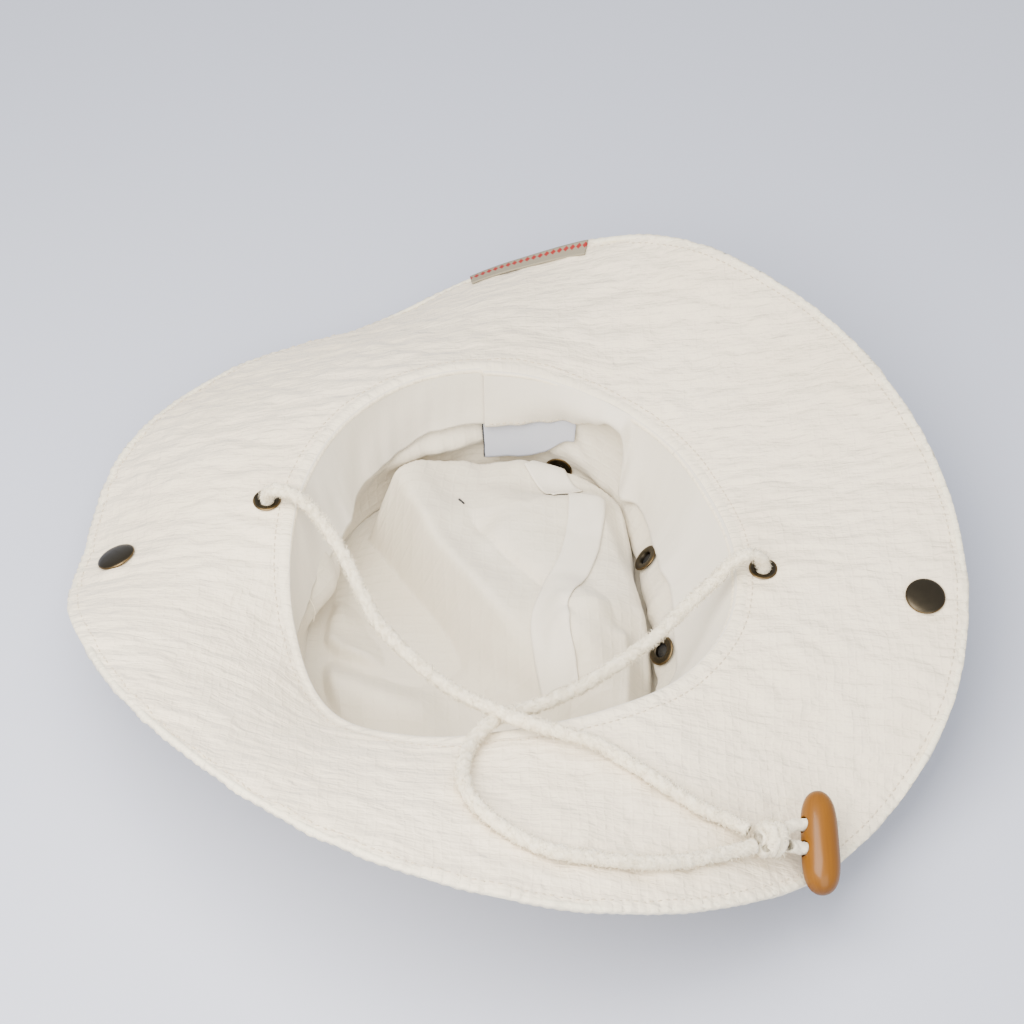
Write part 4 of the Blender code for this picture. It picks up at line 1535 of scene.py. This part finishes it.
@dataclass
class Brim:
    """The wide brim: its cloth, its hem and its two rows of stitches."""

    columns: int = 1040
    rows: int = 44
    cloth_wall: float = 1.8 * MM
    row_crinkles: Crinkle = Crinkle(22.0, 5.5, 1.2, 2.0)
    row_drift: Crinkle = Crinkle(30.0, 30.0, 6.0, 1.0)
    small_crinkles: Crinkle = Crinkle(9.0, 8.0, 0.9, 3.0)
    broad_crinkles: Crinkle = Crinkle(42.0, 36.0, 1.4, 4.0)
    pucker_length: float = 4.2 * MM
    pucker_height: float = 0.28 * MM
    hem_width: float = 2.6 * MM
    hem_height: float = 2.0 * MM
    hem_row: float = 4.2 * MM
    seam_row: float = 3.4 * MM
    gather_length: float = 3.6 * MM
    lip_wall: float = 0.4 * MM
    hole_radius: float = 3.9 * MM

    def cut(self, u: float, v: float) -> tuple[float, float]:
        """The flat cloth's coordinates, where the threads run straight.

        Args:
            u: Share round the brim.
            v: Share of its width.

        Returns:
            X and Y on the flat cloth.
        """
        radius = FORM.opening_radius + FORM.brim_width * v
        angle = 2.0 * math.pi * u
        return radius * math.cos(angle), radius * math.sin(angle)

    def lift(self, u: float, v: float) -> float:
        """How high the cloth's washed crinkles and the hem's puckers stand.

        Args:
            u: Share round the brim.
            v: Share of its width.

        Returns:
            The height. Crinkles fade at both edges, and puckers start a little inside the hem.
        """
        x, y = self.cut(u, v)
        crinkles = self.row_crinkles.lift(x, y + self.row_drift.lift(x, y))
        crinkles += self.small_crinkles.lift(x, y) + self.broad_crinkles.lift(x, y)
        fade = ease(v / 0.08) * ease((1.0 - v) / 0.05 + 0.3)
        round_edge = 2.0 * math.pi * u * (FORM.opening_radius + FORM.brim_width)
        sway = 2.0 * ripple(x / (9.0 * MM), y / (9.0 * MM), 5.0)
        reach = 0.15 + 0.12 * ripple(x / (12.0 * MM), y / (12.0 * MM), 6.0)
        pucker = self.pucker_height * math.sin(2.0 * math.pi * round_edge / self.pucker_length + sway)
        return fade * crinkles + pucker * ease((v - 1.0 + reach) / reach)

    def share(self, v: float) -> float:
        """Share of the brim's width at a share of its rows, which lie closer at both edges."""
        return 0.55 * v + 0.45 * (0.5 - 0.5 * math.cos(math.pi * v))

    def surface(self, u: float, v: float) -> Vector:
        """A point of the cloth."""
        share = self.share(v)
        return FORM.brim(360.0 * u, share, self.lift(u, share))

    def build(self) -> None:
        """Make the brim's pieces."""
        shape = bmesh.new()
        bend_grid(
            shape, self.columns, self.rows, self.surface, lambda u, v: self.cut(u, self.share(v)),
            lambda u, v: 0.5 * ease((v - 0.9) / 0.1),
        )
        merge(shape)
        holes = []
        for eyelet in EYELETS:
            centre = FORM.brim(eyelet.azimuth, eyelet.share)
            near = ((face, (face.calc_center_median() - centre).length) for face in shape.faces)
            holes += [face for face, away in near if away < self.hole_radius]
        bmesh.ops.delete(shape, geom=holes, context="FACES")
        bmesh.ops.recalc_face_normals(shape, faces=shape.faces)
        cloth = finish_piece(shape, "brim_cloth", RIPSTOP, Slot.RIPSTOP, ["brim"])
        give_wall(cloth, self.cloth_wall)
        sewn_on = [
            self.hem(),
            self.lip(),
            self.stitches("hem_stitches", 1.0 - self.hem_row / FORM.brim_width),
            self.stitches("seam_stitches", self.seam_row / FORM.brim_width),
        ]

    def hem(self) -> bpy.types.Object:
        """Make the folded hem round the brim's edge, gathered by its stitching.

        Returns:
            The hem as a piece.
        """
        length = 2.0 * math.pi * (FORM.opening_radius + FORM.brim_width)
        columns = 4 * round(length / self.gather_length)

        def skin(u: float, v: float) -> Vector:
            """A point of the hem.

            Args:
                u: Share round the brim.
                v: Share round the fold.

            Returns:
                The point.
            """
            azimuth = 360.0 * u
            share = 1.0 - 0.5 * self.hem_width / FORM.brim_width
            centre = FORM.brim(azimuth, share)
            out = (FORM.brim(azimuth, 1.0) - FORM.brim(azimuth, 0.97)).normalized()
            turn = FORM.brim(azimuth + 0.2, share) - FORM.brim(azimuth - 0.2, share)
            up = out.cross(turn).normalized()
            angle = 2.0 * math.pi * v
            place = length * u
            gather = math.sin(2.0 * math.pi * place / self.gather_length)
            gather *= 0.6 + 0.4 * ripple(place / (9.0 * MM), 0.0, 5.0)
            swell = 1.0 + 0.04 * gather + 0.03 * ripple(place / (6.0 * MM), v, 6.0)
            wide = self.hem_width * 0.5 * math.cos(angle)
            high = self.hem_height * 0.5 * math.copysign(abs(math.sin(angle)) ** 0.8, math.sin(angle))
            return centre + out * wide + up * high * swell

        def cut(u: float, v: float) -> tuple[float, float]:
            """The flat hem's coordinates, past the brim's edge."""
            x, y = self.cut(u, 1.0)
            return x + v * self.hem_width, y

        shape = bmesh.new()
        bend_grid(shape, columns, 12, skin, cut, lambda u, v: 1.0)
        merge(shape)
        bmesh.ops.recalc_face_normals(shape, faces=shape.faces)
        return finish_piece(shape, "brim_hem", RIPSTOP, Slot.RIPSTOP)

    def lip(self) -> bpy.types.Object:
        """Roll the brim's inner edge over the top of the sweatband, which closes the seam.

        Returns:
            The rolled edge as a piece.
        """

        def skin(u: float, v: float) -> Vector:
            """A point of the rolled edge.

            Args:
                u: Share round the opening.
                v: Share of the way from the brim over the seam to the band.

            Returns:
                The point.
            """
            azimuth = 360.0 * u
            radius, height = FORM.seam(azimuth)
            step = FORM.band_step((FORM.band_start - azimuth) / FORM.band_turn)
            route = (
                FORM.brim(azimuth, 0.022, self.lift(u, 0.022) + 0.6 * MM),
                FORM.brim(azimuth, 0.004, 1.0 * MM),
                FORM.place(azimuth, radius - 1.3 * MM, height + 0.9 * MM),
                FORM.place(azimuth, radius - 2.6 * MM - step, height + 0.1 * MM),
                FORM.band(azimuth, 0.05, 0.75 * MM + step),
                FORM.band(azimuth, 0.08, 0.3 * MM + step),
            )
            return along(route, v)

        shape = bmesh.new()
        bend_grid(shape, 720, 14, skin, lambda u, v: self.cut(u, 0.06 * (1.0 - v)), lambda u, v: 0.25)
        merge(shape)
        bmesh.ops.recalc_face_normals(shape, faces=shape.faces)
        piece = finish_piece(shape, "brim_lip", RIPSTOP, Slot.RIPSTOP)
        give_wall(piece, self.lip_wall)
        return piece

    def stitches(self, name: str, share: float) -> bpy.types.Object:
        """Sew a row of stitches along the brim.

        Args:
            name: The piece's name.
            share: Of the brim's width, from the seam.

        Returns:
            The row as a piece.
        """
        radius = FORM.opening_radius + FORM.brim_width * share
        count = round(2.0 * math.pi * radius / STITCH_PITCH)
        raised = self.cloth_wall * 0.5 + STITCH_LIFT
        return sew(
            name, lambda u, v: FORM.brim(360.0 * u, v, self.lift(u, v) + raised), share,
            [index / count for index in range(count)],
        )


@dataclass
class Crown:
    """The slumped crown: its wall, its top and the tapes on its seams."""

    wall_height: float = 75.0 * MM
    tape_width: float = 14.0 * MM
    tape_wall: float = 0.6 * MM

    def build(self) -> None:
        """Make the crown's pieces."""
        self.wall()
        self.top()
        for tape in TAPES:
            self.tape(tape)

    def wall(self) -> None:
        """Make the crown's wall."""
        around = 2.0 * math.pi * FORM.opening_radius
        shape = bmesh.new()
        bend_grid(
            shape, 540, 50, lambda u, v: FORM.wall_cloth(360.0 * u, v),
            lambda u, v: (u * around, v * self.wall_height),
        )
        merge(shape)
        bmesh.ops.recalc_face_normals(shape, faces=shape.faces)
        # Darker copy of the ripstop: painted shade
        piece = finish_piece(shape, "crown_wall_cloth", SHADED_RIPSTOP, Slot.RIPSTOP, ["crown_side"])
        give_wall(piece, FORM.crown_wall)

    def top(self) -> None:
        """Make the crown's crumpled top."""

        def skin(u: float, v: float) -> Vector:
            """A point of the top, whose square grid is drawn out to its round edge.

            Args:
                u: Share across the square grid.
                v: Share along it.

            Returns:
                The point.
            """
            a, b = 2.0 * u - 1.0, 2.0 * v - 1.0
            x = a * math.sqrt(1.0 - b * b * 0.5)
            y = b * math.sqrt(1.0 - a * a * 0.5)
            azimuth = math.degrees(math.atan2(y, x))
            radius = FORM.opening_radius * FORM.section("foot_radius", azimuth) + FORM.crown_wall
            x, y = x * radius, y * radius
            return Vector((FORM.middle_x + x, FORM.middle_y + y, FORM.top(x, y)))

        def cut(u: float, v: float) -> tuple[float, float]:
            """The flat panel's coordinates."""
            return (2.0 * u - 1.0) * FORM.opening_radius, (2.0 * v - 1.0) * FORM.opening_radius

        shape = bmesh.new()
        bend_grid(shape, 190, 190, skin, cut)
        bmesh.ops.recalc_face_normals(shape, faces=shape.faces)
        # Darker copy of the ripstop: painted shade
        piece = finish_piece(shape, "crown_top_cloth", SHADED_RIPSTOP, Slot.RIPSTOP, ["crown_top"])
        give_wall(piece, FORM.crown_wall)

    def tape(self, tape: TapeRoute) -> None:
        """Lay a tape along its route over the crown's top.

        Args:
            tape: The tape's CAD node and route.
        """
        spots = [Vector(spot) * FORM.opening_radius for spot in tape.route]
        lift = FORM.crown_wall * 0.5 + self.tape_wall * 0.5 + 0.5 * MM

        def skin(u: float, v: float) -> Vector:
            """A point of the tape.

            Args:
                u: Share across it.
                v: Share along it.

            Returns:
                The point.
            """
            spot = along(spots, v)
            ahead = along(spots, min(v + 0.02, 1.0)) - along(spots, max(v - 0.02, 0.0))
            across = Vector((-ahead.y, ahead.x)).normalized() * self.tape_width * (u - 0.5)
            return FORM.on_top(spot.x + across.x, spot.y + across.y, lift)

        middle = [skin(0.5, index / 60.0) for index in range(61)]
        length = sum((two - one).length for one, two in zip(middle, middle[1:]))
        shape = bmesh.new()
        bend_grid(shape, 14, 60, skin, lambda u, v: (u * self.tape_width, v * length))
        piece = finish_piece(shape, tape.name + "_cloth", TWILL, Slot.BAND, [tape.name])
        give_wall(piece, self.tape_wall)


def band_reach(azimuth: float) -> float:
    """How much of the sweatband's width hangs down.

    Args:
        azimuth: In degrees.

    Returns:
        The share of the width, which is all of it away from the band's back.
    """
    place = azimuth % 360.0
    for one, two in zip(BAND_REACHES, BAND_REACHES[1:]):
        if one.azimuth <= place < two.azimuth:
            way = (place - one.azimuth) / (two.azimuth - one.azimuth)
            return one.share + (two.share - one.share) * ease(way)
    return 1.0


@dataclass
class Sweatband:
    """The plain band inside the opening, whose start lies over its own end."""

    label_azimuth: float = 86.0
    label_width: float = 38.0 * MM
    label_height: float = 21.0 * MM
    label_tuck: float = 5.0 * MM
    label_lean: float = 0.35
    label_cloth: float = 0.4 * MM
    label_thread: float = 0.9 * MM
    curl_azimuth: float = 54.0
    curl_depth: float = 6.0 * MM
    crumple_depth: float = 7.0 * MM
    sewn: float = 0.1
    row_inset: float = 2.0 * MM

    def skin(self, u: float, v: float, raised: float = 0.0) -> Vector:
        """A point of the band.

        Args:
            u: Share of its length, from its upper end.
            v: Share of its width, from its rolled top to its lower edge.
            raised: How far the point is moved inwards.

        Returns:
            The point.
        """
        azimuth = FORM.band_start - FORM.band_turn * u
        x, y = math.cos(math.radians(azimuth)), math.sin(math.radians(azimuth))
        slack = 2.6 * MM * ripple(4.0 * x, 4.0 * y + 1.2 * v, 9.0) * v
        fine = 0.5 * MM * ripple(16.0 * x, 16.0 * y + v, 10.0) * v
        reach = band_reach(azimuth)
        curl = self.curl_depth * math.exp(-((azimuth - self.curl_azimuth) / 3.5) ** 2) * v * v
        crumple = self.crumple_depth * (1.0 - reach) * math.sin(math.pi * v)
        return FORM.band(
            azimuth, v * reach, FORM.band_step(u) + slack + fine + curl + crumple + raised,
        )

    def build(self) -> None:
        """Make the band, its label and its stitches."""
        length = math.radians(FORM.band_turn) * FORM.opening_radius
        shape = bmesh.new()
        bend_grid(shape, 900, 30, self.skin, lambda u, v: (u * length, v * FORM.band_width))
        piece = finish_piece(shape, "sweatband_cloth", TWILL, Slot.BAND, ["sweatband"])
        give_wall(piece, FORM.band_wall)
        raised = FORM.band_wall * 0.5 + STITCH_LIFT
        count = round(length * self.sewn / STITCH_PITCH)
        row = sew(
            "sweatband_stitches", lambda u, v: self.skin(u, v, raised),
            1.0 - self.row_inset / FORM.band_width,
            [self.sewn * index / count for index in range(1, count)],
        )
        self.label()

    def label(self) -> None:
        """Hang the white label from behind the band's lower edge."""
        low, _ = FORM.band_foot(self.label_azimuth)
        half = math.degrees(self.label_width * 0.5 / low)
        behind = (FORM.band_wall + FORM.label_wall) * 0.5 + FORM.gap * 2.0

        def skin(u: float, v: float) -> Vector:
            """A point of the label, which leans and hangs down below the band's edge.

            Args:
                u: Share across it, from its left edge.
                v: Share of its height, from its hidden top.

            Returns:
                The point.
            """
            azimuth = self.label_azimuth + half * (1.0 - 2.0 * u)
            drop = self.label_height * v - self.label_tuck
            share = band_reach(azimuth) + min(drop, 0.0) / FORM.band_width
            below = max(drop, 0.0) * (1.0 - 0.4 * ease(2.0 * u - 1.0))
            curl = 0.8 * MM * math.sin(3.0 * u + 1.0) * v
            spot = FORM.band(azimuth, share, self.label_lean * below - behind + curl)
            return spot - Vector((0.0, 0.0, below))

        shape = bmesh.new()
        bend_grid(
            shape, 40, 24, skin, lambda u, v: (u * self.label_width, v * self.label_height),
        )
        piece = finish_piece(shape, "size_label", SHADED_LABEL_SATIN, Slot.SATIN, ["inner_label"])
        give_wall(piece, self.label_cloth)
        edge = [skin(0.0, v) for v in (0.25, 0.6, 0.99)]
        thread = Rope(edge, self.label_thread, plies=1, ring_step=0.5 * MM).build(
            "label_thread", finish=BLACK_THREAD,
        )


@dataclass
class EdgeLabel:
    """The beige strip sewn along the brim's back edge."""

    azimuth: float = 88.0
    length: float = 51.0 * MM
    height: float = 9.0 * MM
    tuck: float = 1.5 * MM
    inset: float = 1.0 * MM

    def build(self) -> None:
        """Make the strip, whose tuck is hidden under the hem."""
        edge = FORM.brim(self.azimuth, 1.0)
        half = math.degrees(self.length * 0.5 / math.hypot(edge.x, edge.y))
        outer = 1.0 - self.inset / FORM.brim_width
        inner = outer - self.height / FORM.brim_width
        lift = FORM.brim_wall * 0.5 + FORM.gap * 1.5 + FORM.label_wall * 0.5

        def skin(u: float, v: float) -> Vector:
            """A point of the strip, across and along the brim's edge."""
            azimuth = self.azimuth + half * (1.0 - 2.0 * u)
            return FORM.brim(azimuth, inner + (outer - inner) * v, lift)

        shape = bmesh.new()
        bend_grid(shape, 60, 10, skin, lambda u, v: (u * self.length, v * self.height))
        piece = finish_piece(shape, "edge_label", LABEL_WOVEN, Slot.WOVEN, ["brim_label"])
        give_wall(piece, FORM.label_wall)


@dataclass
class LooseThreads:
    """The small threads that were left in the hat: one at the sweatband and a black stitch."""

    thread: float = 0.5 * MM
    black_thread: float = 1.1 * MM
    end: tuple[tuple[float, float, float], ...] = (
        (-84.0, 3.0, 27.0), (-80.0, 0.0, 26.5), (-77.6, -3.0, 23.0), (-78.2, -5.0, 18.0),
    )
    stitch: tuple[tuple[float, float], ...] = ((-22.7, 51.6), (-21.6, 50.6), (-20.4, 49.4))

    def build(self) -> None:
        """Make both threads."""
        loose = [FORM.from_middle(point) for point in self.end]
        Rope(loose, self.thread, plies=1, ring_step=0.5 * MM, sides=6).build("loose_thread")
        lift = FORM.crown_wall * 0.5 + 0.2 * MM
        sewn = [FORM.on_top(x * MM, y * MM, lift) for x, y in self.stitch]
        black = Rope(sewn, self.black_thread, plies=1, ring_step=0.3 * MM, sides=8)
        black.build("black_stitch", finish=BLACK_THREAD)


@dataclass
class Metalwork:
    """The eyelets, press studs and vents.

    The socket's table holds the radius and the depth under the brim of each point, in millimetres.
    """

    metal: float = 0.6 * MM
    flange: float = 5.4 * MM
    bore: float = 3.0 * MM
    slack: float = 0.8 * MM
    vent_flange: float = 5.9 * MM
    vent_bore: float = 2.8 * MM
    vent_slack: float = 3.4 * MM
    shadow_disc_half_depth: float = 1.2 * MM
    stud_radius: float = 7.5 * MM
    stud_height: float = 2.0 * MM
    stud_rim: float = 0.7 * MM
    socket_mm: tuple[tuple[float, float], ...] = (
        (2.0, 0.0), (5.5, 0.0), (5.5, 1.0), (4.7, 2.4), (3.6, 2.4), (3.4, 1.2), (0.0, 1.2),
    )

    def build(self) -> None:
        """Make every metal piece."""
        for spot in EYELETS:
            place = standing(FORM.brim, spot.azimuth, spot.share)
            self.eyelet(spot.name, FORM.brim_wall + self.slack, self.flange, self.bore, place)
        for spot in STUDS:
            self.stud(spot.name, standing(FORM.brim, spot.azimuth, spot.share))
        for spot in VENTS:
            place = standing(FORM.wall_cloth, spot.azimuth, spot.share)
            depth = FORM.crown_wall + self.vent_slack
            self.eyelet(spot.name, depth, self.vent_flange, self.vent_bore, place)
            self.fill_hole_shadow(spot.name, place)

    def eyelet(self, name: str, depth: float, flange: float, bore: float, place: Matrix) -> None:
        """Roll an eyelet with two flanges.

        Args:
            name: The CAD node that it replaces.
            depth: Between its flanges.
            flange: The flanges' radius.
            bore: The hole's radius.
            place: Where it stands.
        """
        top = depth * 0.5
        middle, half = (bore + flange) * 0.5, (flange - bore) * 0.5
        upper = []
        for k in range(9):
            angle = math.pi * (k / 8.0)
            rise = self.metal * 0.6 * (0.3 + math.sin(angle))
            upper.append((middle - half * math.cos(angle), top + rise))
        lower = [(radius, -height) for radius, height in reversed(upper)]
        barrel = bore + self.metal
        profile = upper + [(flange, top), (barrel, top), (barrel, -top), (flange, -top)] + lower
        profile.append(profile[0])
        # The flanges' outer edges turn golden: worn brass and a painted highlight
        shape = lathe(
            profile, 56, place, lambda radius, height: ease((radius - flange + 1.2 * MM) / MM),
        )
        finish_piece(shape, name + "_metal", BRASS, Slot.BRASS, [name])

    def fill_hole_shadow(self, name: str, place: Matrix) -> None:
        """Close a vent's bore with a dark disc: painted shadow of the hole.

        Args:
            name: The vent's CAD node.
            place: Where it stands.
        """
        # A dark disc filling the bore: painted shadow of the hole
        wide, deep = self.vent_bore + 0.3 * MM, self.shadow_disc_half_depth
        shape = lathe([(0.0, deep), (wide, deep), (wide, -deep), (0.0, -deep)], 40, place)
        finish_piece(shape, name + "_cup", VENT_HOLE_SHADOW, Slot.BRASS)

    def stud(self, name: str, place: Matrix) -> None:
        """Make a press stud: its domed cap with a rolled rim, its post and its socket.

        Args:
            name: The CAD node that it replaces.
            place: Where it stands.
        """
        top = FORM.brim_wall * 0.5 + 0.35 * MM
        profile = [(0.0, top + self.stud_height)]
        for k in range(1, 13):
            angle = math.radians(90.0 - 6.6 * k)
            rise = self.stud_rim + (self.stud_height - self.stud_rim) * math.sin(angle)
            profile.append((self.stud_radius * 0.97 * math.cos(angle), top + rise))
        profile += [
            (self.stud_radius * 0.985, top + self.stud_rim * 1.1),
            (self.stud_radius, top + self.stud_rim * 0.8),
            (self.stud_radius, top + self.stud_rim * 0.4),
            (self.stud_radius * 0.98, top),
            (self.socket_mm[0][0] * MM, top),
        ]
        profile += [(radius * MM, -top - depth * MM) for radius, depth in self.socket_mm]
        rim = self.stud_radius * 0.93
        # The cap's rim turns golden: worn brass and a painted highlight
        shape = lathe(
            profile, 72, place, lambda radius, height: ease((radius - rim) / (0.5 * MM)),
        )
        finish_piece(shape, name + "_metal", BRASS, Slot.BRASS, [name])


@dataclass(frozen=True)
class Lamp:
    """A square soft light that points at the hat: its side in metres and its power in watts."""

    name: str
    place: tuple[float, float, float]
    size: float
    power: float
    colour: tuple[float, float, float]


LAMPS = (
    Lamp("key", (-0.15, -0.22, 0.52), 0.45, 9.7, (1.0, 0.94, 0.87)),
    Lamp("fill", (0.35, -1.5, 0.8), 1.5, 24.0, (1.0, 0.98, 0.95)),
)


@dataclass
class Studio:
    """The pale floor, the soft lights and the camera at the photo's angle."""

    target: tuple[float, float, float] = (-2.8 * MM, 26.7 * MM, 45.0 * MM)
    elevation: float = 48.0
    distance: float = 887.5 * MM
    lens: float = 80.0
    sensor: float = 36.0
    floor_size: float = 6.0
    sky_colour: tuple[float, float, float, float] = (0.97, 0.98, 1.0, 1.0)
    sky_strength: float = 1.26

    def build(self) -> None:
        """Make the camera, the floor and the lights."""
        self.camera()
        self.floor()
        self.lights()

    def camera(self) -> None:
        """Place the camera at the photo's viewing angle."""
        data = bpy.data.cameras.new("photo_camera")
        data.lens = self.lens
        data.sensor_width = self.sensor
        data.clip_start = 0.01
        data.clip_end = 20.0
        camera = bpy.data.objects.new("photo_camera", data)
        bpy.context.scene.collection.objects.link(camera)
        lift = math.radians(self.elevation)
        back = Vector((0.0, -math.cos(lift), math.sin(lift)))
        camera.location = Vector(self.target) + back * self.distance
        camera.rotation_euler = (math.radians(90.0 - self.elevation), 0.0, 0.0)
        bpy.context.scene.camera = camera

    def floor(self) -> None:
        """Lay the pale floor."""
        shape = bmesh.new()
        bmesh.ops.create_grid(shape, x_segments=1, y_segments=1, size=self.floor_size * 0.5)
        mesh = bpy.data.meshes.new("floor")
        shape.to_mesh(mesh)
        shape.free()
        mesh.materials.append(BACKDROP.material())
        floor = bpy.data.objects.new("floor", mesh)
        bpy.context.scene.collection.objects.link(floor)

    def lights(self) -> None:
        """Hang a near soft light over the front left, a low fill at the front and a pale sky."""
        for lamp in LAMPS:
            self.hang(lamp)
        world = bpy.data.worlds.new("studio")
        world.use_nodes = True
        sky = world.node_tree.nodes["Background"]
        sky.inputs["Color"].default_value = self.sky_colour
        sky.inputs["Strength"].default_value = self.sky_strength
        bpy.context.scene.world = world

    def hang(self, lamp: Lamp) -> None:
        """Hang one light.

        Args:
            lamp: The light's place, size, power and colour.
        """
        data = bpy.data.lights.new(lamp.name, "AREA")
        data.size = lamp.size
        data.energy = lamp.power
        data.color = lamp.colour
        light = bpy.data.objects.new(lamp.name, data)
        bpy.context.scene.collection.objects.link(light)
        light.location = lamp.place
        light.visible_camera = False
        aim = Vector(self.target) - Vector(lamp.place)
        light.rotation_euler = aim.to_track_quat("-Z", "Y").to_euler()


def main() -> None:
    """Build the studio and the hat's parts in order."""
    logging.basicConfig(level=logging.INFO, format="%(name)s %(message)s")
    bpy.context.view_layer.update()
    parts = (
        Studio(), ChinCord(), Crown(), Brim(), Sweatband(), EdgeLabel(), Metalwork(), LooseThreads(),
    )
    for part in parts:
        part.build()
        LOG.info("%s is in place", type(part).__name__)


if __name__ == "__main__":
    main()
